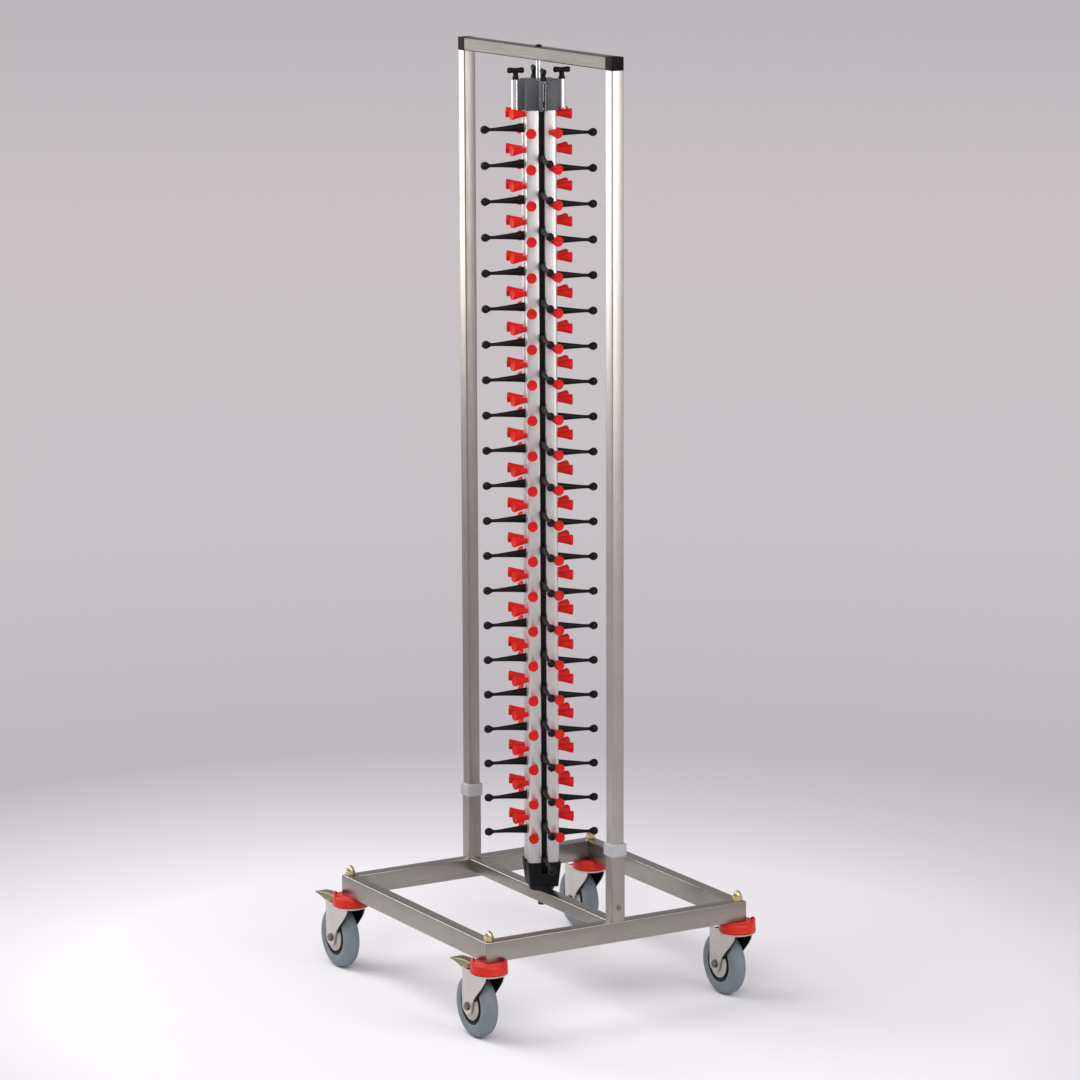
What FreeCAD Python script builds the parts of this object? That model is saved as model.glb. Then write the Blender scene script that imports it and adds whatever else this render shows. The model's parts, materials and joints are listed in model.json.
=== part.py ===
"""Plate dispenser cart: a wheeled base, an upright frame and a turning column of plate arms.

Millimetres, +Z up. The origin is on the floor under the column's axis. +X runs along the crossbar
and +Y across it. The four casters stand with their wheels trailing towards -X.

The column has four alike faces. Each face is built facing +X about the column's own axis, and is then
turned to its place, so one function makes the same piece for every face.
"""
import FreeCAD, Part
import os
import Sketcher

DIMENSIONS = {
    # base frame
    "base_side": 580.0,
    "beam_wide": 25.0,
    "beam_high": 40.0,
    "beam_bottom": 158.0,
    "tube_side": 25.0,
    "tube_wall": 1.5,
    # upright frame
    "frame_top": 1844.0,
    "socket_side": 28.0,
    "socket_bore": 25.4,
    "socket_top": 326.0,
    "collar_side": 34.0,
    "collar_high": 25.0,
    "collar_bore": 25.2,
    "collar_chamfer": 2.0,
    "spigot_side": 21.8,
    "spigot_long": 20.0,
    "clamp_screw_up": 226.0,
    "clamp_screw_radius": 3.0,
    "clamp_head_radius": 5.0,
    "clamp_head_high": 2.0,
    # pivots of the column
    "pivot_radius": 4.9,
    "pivot_low": 1753.0,
    "dome_radius": 6.6,
    "dome_high": 4.3,
    "foot_pin_radius": 8.0,
    "foot_pin_top": 230.0,
    "foot_collar_radius": 25.0,
    "foot_collar_top": 205.7,
    "foot_bolt_radius": 5.0,
    "foot_nut_radius": 7.5,
    "foot_nut_high": 8.0,
    "running_clearance": 0.05,
    # column
    "column_turn": -19.3,
    "column_low": 256.0,
    "column_high": 1725.0,
    "column_half": 30.0,
    "profile_side": 25.0,
    "profile_wall": 3.2,
    "profile_round": 4.0,
    "core_reach": 15.0,
    "head_half": 30.5,
    "head_high": 57.5,
    "head_cheek_half": 8.5,
    "head_cheek_reach": 41.0,
    "slot_half": 5.6,
    "slot_depth": 53.0,
    "slot_floor_radius": 15.2,
    "foot_half": 33.0,
    "foot_low_half": 28.0,
    "foot_low": 206.0,
    "foot_slot_floor": 234.0,
    "foot_bore_deep": 26.0,
    # wing screws
    "screw_reach": 44.5,
    "sleeve_radius": 8.0,
    "sleeve_slot_half": 5.3,
    "sleeve_slot_reach": 49.5,
    "sleeve_window_half": 2.0,
    "spindle_radius": 4.0,
    "spindle_low": 1728.0,
    "knob_base_radius": 6.5,
    "knob_neck_radius": 4.6,
    "knob_stem_high": 12.5,
    "wing_span": 33.0,
    "wing_thick": 8.0,
    "wing_high": 10.5,
    "wing_chamfer": 2.0,
    # plate supports
    "levels": 21,
    "level_pitch": 68.6,
    "cone_top_front": 1684.0,
    "cone_small_radius": 5.0,
    "cone_large_radius": 10.2,
    "cone_reach": 58.5,
    "cone_root_spread": 17.5,
    "cone_tip_spread": 26.5,
    "cone_sides": 5,
    "rail_half": 4.6,
    "rail_inner": 15.5,
    "rail_outer": 26.0,
    "rail_tail": 12.0,
    "lug_half": 4.9,
    "lug_inner": 16.5,
    "lug_outer": 49.0,
    "lug_high": 12.0,
    "lug_highest": 1766.0,
    "arm_setting_least": 25.0,
    "arm_root_high": 18.4,
    "arm_neck_high": 6.0,
    "arm_neck_reach": 95.5,
    "arm_droop": 2.5,
    "ball_reach": 104.7,
    "ball_radius": 8.0,
    "ball_end_half": 4.8,
    "setting_front": 53.0,
    "setting_right": 39.0,
    "setting_back": 41.0,
    "setting_left": 30.0,
    # casters
    "caster_inset": 12.5,
    "ring_radius": 37.0,
    "ring_low": 138.0,
    "lobe_inner": 30.0,
    "lobe_high": 8.0,
    "lobe_gap": 0.6,
    "stem_radius": 8.0,
    "stem_low": 128.4,
    "stem_head_radius": 13.0,
    "stem_head_high": 3.0,
    "cap_nut_radius": 9.8,
    "cap_nut_crown_radius": 8.2,
    "cap_nut_hex_high": 9.0,
    "cap_nut_high": 20.0,
    "crown_radius": 36.0,
    "crown_top": 137.7,
    "crown_thick": 3.0,
    "crown_web_low": 131.7,
    "fork_half": 21.5,
    "fork_inner_half": 19.0,
    "fork_front": 22.0,
    "fork_rear": 66.0,
    "fork_foot_front": 30.0,
    "fork_foot_deep": 17.0,
    "trail": 46.0,
    "axle_up": 62.5,
    "axle_radius": 5.0,
    "axle_head_radius": 9.0,
    "axle_head_high": 5.0,
    "wheel_radius": 62.5,
    "wheel_wide": 32.0,
    "tyre_shoulder": 7.0,
    "rim_radius": 37.0,
    "rim_wide": 27.0,
    "pedal_pin_back": 56.0,
    "pedal_pin_up": 139.4,
    "pedal_pin_radius": 2.5,
    "pedal_half": 11.0,
    "pedal_long": 70.0,
    "pedal_rise": 14.0,
    "pedal_thick": 3.5,
    "pedal_eye": 4.0,
    "ear_thick": 3.0,
    "ear_reach": 9.0,
    "ear_rise": 5.0,
    "ear_gap": 0.3,
}

FACES = ("front", "right", "back", "left")
CORNERS = {
    "front_left": (-1, -1),
    "front_right": (1, -1),
    "rear_right": (1, 1),
    "rear_left": (-1, 1),
}
BRAKED = ("front_left", "front_right")
LOBE_AZIMUTH = 60
CHEEK_STEPS = 5
SMALL_SIDES = 12
SLEEVE_SIDES = 12
DISC_SIDES = 18
RIM_SIDES = 16
TYRE_SIDES = 28
NODES = []

UP = FreeCAD.Vector(0, 0, 1)
doc = FreeCAD.newDocument("plate_dispenser_cart")
sheet = doc.addObject("Spreadsheet::Sheet", "dims")
for line, (alias, value) in enumerate(DIMENSIONS.items(), start=1):
    sheet.set(f"A{line}", alias)
    sheet.set(f"B{line}", str(value))
    sheet.setAlias(f"B{line}", alias)
doc.recompute()


def size(alias):
    """The sheet's value of one dimension, as a plain number."""
    return float(getattr(sheet, alias))


def bind(thing, **expressions):
    """Bind properties to expressions. Two underscores stand for the dot in a property's path."""
    for path, text in expressions.items():
        thing.setExpression(path.replace("__", "."), text)
    return thing


def place(thing, x="0", y="0", z="0"):
    """Bind where an object stands."""
    for letter, text in zip("xyz", (x, y, z)):
        thing.setExpression(f"Placement.Base.{letter}", text)
    return thing


def turned(thing, axis, degrees):
    """Turn an object about an axis through its own origin."""
    thing.Placement.Rotation = FreeCAD.Rotation(FreeCAD.Vector(*axis), degrees)
    return thing


def box(long, wide, high, x="0", y="0", z="0"):
    """A box whose low corner stands at x, y, z."""
    made = doc.addObject("Part::Box", "box")
    bind(made, Length=long, Width=wide, Height=high)
    return place(made, x, y, z)


def rod(radius, high, x="0", y="0", z="0"):
    """An upright cylinder whose bottom centre is at x, y, z."""
    made = doc.addObject("Part::Cylinder", "rod")
    bind(made, Radius=radius, Height=high)
    return place(made, x, y, z)


def many_sided(sides, radius, high, x="0", y="0", z="0"):
    """An upright prism with that many flats, radius measured to its corners."""
    made = doc.addObject("Part::Prism", "many_sided")
    made.Polygon = sides
    bind(made, Circumradius=radius, Height=high)
    return place(made, x, y, z)


def flats_at(radius, sides):
    """The corner radius of a regular outline whose flats lie at a radius."""
    return f"({radius}) / cos(180 / {sides})"


SPINDLE_HOLE = flats_at("dims.spindle_radius + dims.running_clearance", SMALL_SIDES)
STEM_HOLE = flats_at("dims.stem_radius + dims.running_clearance", SMALL_SIDES)
AXLE_HOLE = flats_at("dims.axle_radius + dims.running_clearance", SMALL_SIDES)
PIVOT_HOLE = flats_at("dims.pivot_radius + dims.running_clearance", SMALL_SIDES)
FOOT_HOLE = flats_at("dims.foot_pin_radius + dims.running_clearance", SMALL_SIDES)
PEDAL_HOLE = flats_at("dims.pedal_pin_radius + dims.running_clearance", SMALL_SIDES)


def fused(*pieces):
    made = doc.addObject("Part::MultiFuse", "fused")
    made.Shapes = list(pieces)
    made.Refine = True
    return made


def cut(base, tool):
    made = doc.addObject("Part::Cut", "cut")
    made.Base = base
    made.Tool = tool
    return made


def group(*pieces):
    made = doc.addObject("Part::Compound", "group")
    made.Links = list(pieces)
    return made


def named(thing, label):
    thing.Label = label
    NODES.append(thing)
    return thing


def new_body(label):
    return doc.addObject("PartDesign::Body", label)


def sketch(body, plane, corners=(), circle=None, lift=None):
    """A closed outline of straight lines through corners, or a circle (x, y, radius), on one plane.

    Every corner is held by its distances from the sketch's origin, given as expressions.
    """
    drawn = body.newObject("Sketcher::SketchObject", "outline")
    origin_planes = [o for o in body.Origin.OriginFeatures if o.Role == plane]
    drawn.AttachmentSupport = (origin_planes[0], "")
    drawn.MapMode = "FlatFace"
    if lift:
        drawn.setExpression("AttachmentOffset.Base.z", lift)
    if circle:
        add_circle(drawn, *circle)
    else:
        add_polygon(drawn, corners)
    return drawn


def hold(drawn, geometry, point, x, y):
    """Hold one point of a sketch at the expressions x, y."""
    for kind, text, axis in (("DistanceX", x, -2), ("DistanceY", y, -1)):
        if text == "0":
            drawn.addConstraint(Sketcher.Constraint("PointOnObject", geometry, point, axis))
            continue
        at = drawn.addConstraint(Sketcher.Constraint(kind, -1, 1, geometry, point, 1.0))
        drawn.setExpression(f"Constraints[{at}]", text)


def add_circle(drawn, x, y, radius):
    drawn.addGeometry(Part.Circle(FreeCAD.Vector(5, 5, 0), UP, 2))
    at = drawn.addConstraint(Sketcher.Constraint("Radius", 0, 2.0))
    drawn.setExpression(f"Constraints[{at}]", radius)
    hold(drawn, 0, 3, x, y)


def add_polygon(drawn, corners):
    count = len(corners)
    guesses = [
        FreeCAD.Rotation(UP, 360.0 * i / count).multVec(FreeCAD.Vector(9, 4, 0)) for i in range(count)
    ]
    for i in range(count):
        drawn.addGeometry(Part.LineSegment(guesses[i], guesses[(i + 1) % count]))
    for i in range(count):
        drawn.addConstraint(Sketcher.Constraint("Coincident", i, 2, (i + 1) % count, 1))
    for i, (x, y) in enumerate(corners):
        hold(drawn, i, 1, x, y)


def pad(body, outline, length, both_ways=False):
    made = body.newObject("PartDesign::Pad", "pad")
    made.Profile = outline
    made.SideType = "Symmetric" if both_ways else "One side"
    made.setExpression("Length", length)
    outline.Visibility = False
    return made


def pocket(body, outline, length=None, both_ways=False, upwards=False):
    """Cut an outline away, through everything where no length is given."""
    made = body.newObject("PartDesign::Pocket", "pocket")
    made.Profile = outline
    made.SideType = "Symmetric" if both_ways else "One side"
    made.Reversed = upwards
    if length:
        made.setExpression("Length", length)
    else:
        made.Type = "ThroughAll"
    return made


def around(body, features, count):
    """Repeat features about the body's own Z axis."""
    made = body.newObject("PartDesign::PolarPattern", "around")
    axes = [o for o in body.Origin.OriginFeatures if o.Role == "Z_Axis"]
    made.Originals = features
    made.Axis = (axes[0], [""])
    made.Angle = 360.0
    made.Occurrences = count
    body.Tip = made
    return made


def many_corners(radius, count, x="0", y="0"):
    """The corners of a regular outline about x, y, the first of them towards +X."""
    angles = [360.0 * i / count for i in range(count)]
    return [(f"{x} + {radius} * cos({a})", f"{y} + {radius} * sin({a})") for a in angles]


def rectangle(x_low, x_high, y_low, y_high):
    return ((x_low, y_low), (x_high, y_low), (x_high, y_high), (x_low, y_high))


def copies(source, label, placements):
    """One node of alike solids: the source's shape at each placement."""
    made = doc.addObject("Part::Feature", label)
    made.Shape = Part.makeCompound([source.Shape.transformed(p.Matrix, True) for p in placements])
    return named(made, label)


def quarter_turns():
    """The placements of four alike pieces, one for each face of the column."""
    return [face_placement(i) for i in range(4)]


def face_placement(index):
    angle = size("column_turn") + 90.0 * index
    return FreeCAD.Placement(FreeCAD.Vector(), FreeCAD.Rotation(UP, angle))


def flat_sided(sections):
    """A solid with flat sides through sections that have equally many corners."""
    count = len(sections[0])
    faces = []
    for low, high in zip(sections, sections[1:]):
        for i in range(count):
            j = (i + 1) % count
            faces.append(Part.Face(Part.makePolygon([low[i], low[j], high[j], high[i], low[i]])))
    for ends in (sections[0], sections[-1]):
        faces.append(Part.Face(Part.makePolygon(ends + ends[:1])))
    shell = Part.Shell(faces)
    shell.sewShape()
    solid = Part.Solid(shell)
    if solid.Volume < 0:
        solid.reverse()
    return solid


def round_section(x, y, z, radius, sides=SMALL_SIDES):
    """The corners of a level round outline about x, y."""
    spoke = FreeCAD.Vector(radius, 0, 0)
    middle = FreeCAD.Vector(x, y, z)
    return [middle + FreeCAD.Rotation(UP, 360.0 * i / sides).multVec(spoke) for i in range(sides)]


def dome(radius, high, x, y, z):
    """A low dome with flat sides."""
    made = doc.addObject("Part::Feature", "dome")
    made.Shape = flat_sided([
        round_section(x, y, z, radius),
        round_section(x, y, z + 0.5 * high, 0.84 * radius),
        round_section(x, y, z + high, 0.36 * radius),
    ])
    return made


# ---------------------------------------------------------------- base frame


def base_beam(label, degrees):
    """One side of the base: a box tube with mitred ends, drawn as the side at -Y."""
    body = new_body(label)
    half, inner = "dims.base_side / 2", "dims.base_side / 2 - dims.beam_wide"
    outline = (
        (f"-({half})", f"-({half})"),
        (half, f"-({half})"),
        (inner, f"-({inner})"),
        (f"-({inner})", f"-({inner})"),
    )
    pad(body, sketch(body, "XY_Plane", outline), "dims.beam_high")
    hollow = rectangle(
        f"-({half}) + dims.tube_wall",
        f"-({inner}) - dims.tube_wall",
        "dims.tube_wall",
        "dims.beam_high - dims.tube_wall",
    )
    pocket(body, sketch(body, "YZ_Plane", hollow), both_ways=True)
    place(body, z="dims.beam_bottom")
    turned(body, (0, 0, 1), degrees)
    return named(body, label)


def cross_member():
    """The tube under the column, with its top level with the beams."""
    long = "dims.base_side - 2 * dims.beam_wide"
    low = "dims.beam_bottom + dims.beam_high - dims.tube_side"
    wall = "dims.tube_wall"
    outer = box(long, "dims.tube_side", "dims.tube_side", f"-({long}) / 2", "-dims.tube_side / 2", low)
    bore = f"dims.tube_side - 2 * {wall}"
    inner = box(long, bore, bore, f"-({long}) / 2", f"-({bore}) / 2", f"{low} + {wall}")
    corner_radius = flats_at("dims.foot_bolt_radius", SMALL_SIDES)
    hole = many_sided(SMALL_SIDES, corner_radius, "dims.tube_side", z=low)
    return named(cut(cut(outer, inner), hole), "cross_member")


# ------------------------------------------------------------- upright frame

UPRIGHT_X = "dims.base_side / 2 - dims.beam_wide / 2"
BEAM_TOP = "dims.beam_bottom + dims.beam_high"


def socket_tube(side):
    """The short tube on a beam that an upright stands in, with its clamp screw's hole."""
    high = f"dims.socket_top - ({BEAM_TOP})"
    x = f"{side} * ({UPRIGHT_X})"
    outer = box(
        "dims.socket_side", "dims.socket_side", high,
        f"{x} - dims.socket_side / 2", "-dims.socket_side / 2", BEAM_TOP,
    )
    inner = box(
        "dims.socket_bore", "dims.socket_bore", high,
        f"{x} - dims.socket_bore / 2", "-dims.socket_bore / 2", BEAM_TOP,
    )
    hole = many_sided(6, "dims.clamp_screw_radius", "dims.socket_side / 2")
    place(hole, x, "0", "dims.clamp_screw_up")
    turned(hole, (0, 1, 0), 90 * side)
    return cut(cut(outer, inner), hole)


def clamp_collar(side):
    """The plastic collar at a socket's mouth, square with its corners taken off."""
    body = new_body("collar")
    half = "dims.collar_side / 2"
    edge = "dims.collar_side / 2 - dims.collar_chamfer"
    outline = (
        (f"-({edge})", f"-({half})"), (edge, f"-({half})"), (half, f"-({edge})"), (half, edge),
        (edge, half), (f"-({edge})", half), (f"-({half})", edge), (f"-({half})", f"-({edge})"),
    )
    pad(body, sketch(body, "XY_Plane", outline), "dims.collar_high")
    bore = "dims.collar_bore / 2"
    window = rectangle(f"-{bore}", bore, f"-{bore}", bore)
    pocket(body, sketch(body, "XY_Plane", window), upwards=True)
    return place(body, f"{side} * ({UPRIGHT_X})", "0", "dims.socket_top")


def clamp_screw(side):
    """The screw that holds an upright in its socket, its head on the outer face."""
    wall = "(dims.socket_side - dims.tube_side) / 2"
    shank = many_sided(6, "dims.clamp_screw_radius", wall)
    head = many_sided(6, "dims.clamp_head_radius", "dims.clamp_head_high", z=wall)
    screw = fused(shank, head)
    place(screw, f"{side} * ({UPRIGHT_X} + dims.tube_side / 2)", "0", "dims.clamp_screw_up")
    return turned(screw, (0, 1, 0), 90 * side)


def upright(label, side):
    """A tube from the beam up to the corner connector."""
    x = f"{side} * ({UPRIGHT_X})"
    high = f"dims.frame_top - dims.tube_side - ({BEAM_TOP})"
    bore = "dims.tube_side - 2 * dims.tube_wall"
    outer = box(
        "dims.tube_side", "dims.tube_side", high,
        f"{x} - dims.tube_side / 2", "-dims.tube_side / 2", BEAM_TOP,
    )
    inner = box(bore, bore, high, f"{x} - ({bore}) / 2", f"-({bore}) / 2", BEAM_TOP)
    return named(cut(outer, inner), label)


def crossbar():
    """The top tube between the corner connectors, drilled for the pivot bolt."""
    long = "dims.base_side - 2 * dims.tube_side"
    low = "dims.frame_top - dims.tube_side"
    bore = "dims.tube_side - 2 * dims.tube_wall"
    outer = box(long, "dims.tube_side", "dims.tube_side", f"-({long}) / 2", "-dims.tube_side / 2", low)
    inner = box(long, bore, bore, f"-({long}) / 2", f"-({bore}) / 2", f"{low} + dims.tube_wall")
    corner_radius = flats_at("dims.pivot_radius", SMALL_SIDES)
    hole = many_sided(SMALL_SIDES, corner_radius, "dims.tube_side", z=low)
    return named(cut(cut(outer, inner), hole), "crossbar")


def corner_connector(side):
    """A plastic corner block with a spigot into the crossbar and one into the upright."""
    low = "dims.frame_top - dims.tube_side"
    cube = box(
        "dims.tube_side", "dims.tube_side", "dims.tube_side",
        f"{side} * ({UPRIGHT_X}) - dims.tube_side / 2", "-dims.tube_side / 2", low,
    )
    middle = "-dims.spigot_side / 2"
    down = box(
        "dims.spigot_side", "dims.spigot_side", "dims.spigot_long",
        f"{side} * ({UPRIGHT_X}) - dims.spigot_side / 2", middle, f"{low} - dims.spigot_long",
    )
    reach = "dims.base_side / 2 - dims.tube_side"
    inward = box(
        "dims.spigot_long", "dims.spigot_side", "dims.spigot_side",
        f"{reach} - dims.spigot_long" if side > 0 else f"-({reach})",
        middle, f"{low} + (dims.tube_side - dims.spigot_side) / 2",
    )
    return fused(cube, down, inward)


# --------------------------------------------------------- pivots of the column


def pivot_bolt():
    """The bolt down through the crossbar into the head block, with its domed head."""
    shank = rod("dims.pivot_radius", "dims.frame_top - dims.pivot_low", z="dims.pivot_low")
    head = dome(size("dome_radius"), size("dome_high"), 0, 0, size("frame_top"))
    return named(fused(shank, head), "pivot_bolt")


def foot_pivot():
    """The pin that the column stands and turns on, and the nut under the cross member."""
    top, low = BEAM_TOP, f"{BEAM_TOP} - dims.tube_side"
    bolt = many_sided(SMALL_SIDES, "dims.foot_bolt_radius", "dims.tube_side", z=low)
    collar = many_sided(DISC_SIDES, "dims.foot_collar_radius", f"dims.foot_collar_top - ({top})", z=top)
    pin = rod("dims.foot_pin_radius", f"dims.foot_pin_top - ({top})", z=top)
    nut = many_sided(6, "dims.foot_nut_radius", "dims.foot_nut_high", z=f"{low} - dims.foot_nut_high")
    return named(fused(bolt, collar, pin, nut), "foot_pivot")


# ---------------------------------------------------------------------- column


def column_profiles():
    """The four aluminium tubes at the column's corners."""
    body = new_body("profile")
    near = "dims.column_half - dims.profile_side"
    far = "dims.column_half"
    soft = "dims.column_half - dims.profile_round"
    outline = (
        (near, near), (soft, near), (far, f"{near} + dims.profile_round"),
        (far, soft), (soft, far), (f"{near} + dims.profile_round", far), (near, soft),
    )
    pad(body, sketch(body, "XY_Plane", outline), "dims.column_high - dims.column_low")
    wall = "dims.profile_wall"
    hollow = rectangle(f"{near} + {wall}", f"{far} - {wall}", f"{near} + {wall}", f"{far} - {wall}")
    pocket(body, sketch(body, "XY_Plane", hollow), upwards=True)
    place(body, z="dims.column_low")
    doc.recompute()
    return copies(body, "column_profiles", quarter_turns())


def column_core():
    """The black cross between the profiles."""
    thick = "2 * (dims.column_half - dims.profile_side)"
    high = "dims.column_high - dims.column_low"
    reach = "dims.core_reach"
    bars = [
        box(f"2 * {reach}", thick, high, f"-{reach}", f"-({thick}) / 2", "dims.column_low"),
        box(thick, f"2 * {reach}", high, f"-({thick}) / 2", f"-{reach}", "dims.column_low"),
    ]
    core = fused(*bars)
    core.Placement = face_placement(0)
    return named(core, "column_core")


def head_block():
    """The block on top of the column: four slots for the rails, each between two cheeks."""
    body = new_body("head_block")
    half = "dims.head_half"
    square = rectangle(f"-{half}", half, f"-{half}", half)
    pad(body, sketch(body, "XY_Plane", square), "dims.head_high")
    cheeks = rectangle(half, "dims.head_cheek_reach", "-dims.head_cheek_half", "dims.head_cheek_half")
    cheek_pad = pad(body, sketch(body, "XY_Plane", cheeks), "dims.head_high")
    slot = rectangle("dims.slot_floor_radius", "dims.head_cheek_reach", "-dims.slot_half", "dims.slot_half")
    slot_cut = pocket(body, sketch(body, "XY_Plane", slot), "dims.slot_depth", upwards=True)
    seat_outline = many_corners("dims.sleeve_radius", SLEEVE_SIDES, "dims.screw_reach")
    seat = sketch(body, "XY_Plane", seat_outline)
    seat_cut = pocket(body, seat, upwards=True)
    around(body, [cheek_pad, slot_cut, seat_cut], 4)
    bore = sketch(body, "XY_Plane", many_corners(PIVOT_HOLE, SMALL_SIDES), lift="dims.head_high")
    body.Tip = pocket(body, bore, "dims.column_high + dims.head_high - dims.pivot_low + 1")
    place(body, z="dims.column_high")
    turned(body, (0, 0, 1), size("column_turn"))
    return named(body, "head_block")


def foot_block():
    """The tapered block under the column, bored for the foot pin, with slots for the rails' tails."""
    half, low_half = "dims.foot_half", "dims.foot_low_half"
    high = "dims.column_low - dims.foot_low"
    block = doc.addObject("Part::Wedge", "tapered")
    bind(block, Xmin=f"-{low_half}", Xmax=low_half, Zmin=f"-{low_half}", Zmax=low_half)
    bind(block, X2min=f"-{half}", X2max=half, Z2min=f"-{half}", Z2max=half)
    bind(block, Ymin="0", Ymax=high)
    turned(block, (1, 0, 0), 90)
    slot_high = "dims.column_low - dims.foot_slot_floor"
    cuts = [many_sided(SMALL_SIDES, FOOT_HOLE, "dims.foot_bore_deep")]
    for index in range(4):
        slot = box(
            f"{half} - dims.slot_floor_radius", "2 * dims.slot_half", slot_high,
            "dims.slot_floor_radius", "-dims.slot_half", f"{high} - ({slot_high})",
        )
        cuts.append(turned(group(slot), (0, 0, 1), 90 * index))
    made = place(cut(block, fused(*cuts)), z="dims.foot_low")
    turned(made, (0, 0, 1), size("column_turn"))
    return named(made, "foot_block")


def guide_sleeves():
    """The aluminium sleeves at the head: open towards the column for a lug, with a window outside."""
    high = "dims.head_high"
    tube = many_sided(
        SLEEVE_SIDES, "dims.sleeve_radius", high, "dims.screw_reach", "0", "dims.column_high"
    )
    slot = box(
        "dims.sleeve_slot_reach - dims.column_half", "2 * dims.sleeve_slot_half", "dims.slot_depth",
        "dims.column_half", "-dims.sleeve_slot_half", "dims.column_high",
    )
    window = box(
        "dims.sleeve_radius", "2 * dims.sleeve_window_half", "dims.slot_depth",
        "dims.screw_reach", "-dims.sleeve_window_half", "dims.column_high",
    )
    hole = many_sided(SMALL_SIDES, SPINDLE_HOLE, high, "dims.screw_reach", "0", "dims.column_high")
    sleeve = cut(cut(cut(tube, slot), window), hole)
    doc.recompute()
    return copies(sleeve, "guide_sleeves", quarter_turns())


# ----------------------------------------------------------------- wing screws


def wing_screw(face, index):
    """A black wing knob and the steel spindle under it, which lifts that face's rail."""
    top = "dims.column_high + dims.head_high"
    spindle = rod(
        "dims.spindle_radius", f"{top} - dims.spindle_low", "dims.screw_reach", "0", "dims.spindle_low"
    )
    spindle = group(spindle)
    spindle.Placement = face_placement(index)
    named(spindle, f"spindle_{face}")
    low = size("column_high") + size("head_high")
    stem = doc.addObject("Part::Feature", "stem")
    stem.Shape = flat_sided([
        round_section(size("screw_reach"), 0, low, size("knob_base_radius")),
        round_section(size("screw_reach"), 0, low + size("knob_stem_high"), size("knob_neck_radius")),
    ])
    wings = knob_wings(top)
    knob = fused(stem, wings)
    knob.Placement = face_placement(index)
    named(knob, f"wing_knob_{face}")


def knob_wings(top):
    """The two flat wings of a knob, in line with the column's axis, with tapered ends."""
    body = new_body("wings")
    half, thick, off = "dims.wing_span / 2", "dims.wing_thick / 2", "dims.wing_chamfer"
    outline = (
        (f"-({half})", f"-({thick}) + {off}"), (f"-({half}) + {off}", f"-({thick})"),
        (f"{half} - {off}", f"-({thick})"), (half, f"-({thick}) + {off}"),
        (half, f"{thick} - {off}"), (f"{half} - {off}", thick),
        (f"-({half}) + {off}", thick), (f"-({half})", f"{thick} - {off}"),
    )
    pad(body, sketch(body, "XY_Plane", outline), "dims.wing_high")
    return place(body, "dims.screw_reach", "0", f"{top} + dims.knob_stem_high")


# -------------------------------------------------------------- plate supports


def cone_height(face):
    """The height of a face's highest pair of cones: side faces stand half a step higher."""
    step = 0.0 if face in ("front", "back") else size("level_pitch") / 2
    return size("cone_top_front") + step


def cone_ring(x, y, z, radius):
    """The corners of one end of a cone, in a plane parallel to the column's face."""
    sides = int(size("cone_sides"))
    spoke = FreeCAD.Vector(0, 0, radius)
    middle = FreeCAD.Vector(x, y, z)
    across = FreeCAD.Vector(1, 0, 0)
    return [middle + FreeCAD.Rotation(across, 360.0 * i / sides).multVec(spoke) for i in range(sides)]


def rubber_cones(face, index):
    """Two cones on every level, splayed apart, the wide end out. They press on a plate's rim."""
    solids = []
    for level in range(int(size("levels"))):
        z = cone_height(face) - level * size("level_pitch")
        for side in (-1, 1):
            root = cone_ring(
                size("column_half"), side * size("cone_root_spread"), z, size("cone_small_radius")
            )
            tip = cone_ring(
                size("cone_reach"), side * size("cone_tip_spread"), z, size("cone_large_radius")
            )
            solids.append(flat_sided([root, tip]))
    return array_node(f"rubber_cones_{face}", solids, index)


def bar_section(x, half_wide, half_high, z):
    return [
        FreeCAD.Vector(x, -half_wide, z - half_high),
        FreeCAD.Vector(x, half_wide, z - half_high),
        FreeCAD.Vector(x, half_wide, z + half_high),
        FreeCAD.Vector(x, -half_wide, z + half_high),
    ]


def plate_arm(z):
    """One arm: deep at the rail, thin at the neck, with a knob end that the plate rests on."""
    neck = size("arm_neck_high") / 2
    ball, reach = size("ball_radius"), size("ball_reach")
    return flat_sided([
        bar_section(size("rail_outer"), size("rail_half"), size("arm_root_high") / 2, z + size("arm_droop")),
        bar_section(size("arm_neck_reach"), neck, neck, z),
        bar_section(reach, ball, ball, z),
        bar_section(reach + ball, size("ball_end_half"), size("ball_end_half"), z),
    ])


def arm_height(face):
    """The height of a face's highest ball end, as its wing screw is set."""
    return cone_height(face) - size(f"setting_{face}")


def plate_arms(face, index):
    """The arms of one face, one to a level."""
    levels = range(int(size("levels")))
    solids = [plate_arm(arm_height(face) - level * size("level_pitch")) for level in levels]
    return array_node(f"plate_arms_{face}", solids, index)


def array_node(label, solids, index):
    """A node of repeated solids, built facing +X and turned to its face."""
    made = doc.addObject("Part::Feature", label)
    made.Shape = Part.makeCompound(solids)
    made.Placement = face_placement(index)
    return named(made, label)


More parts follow.
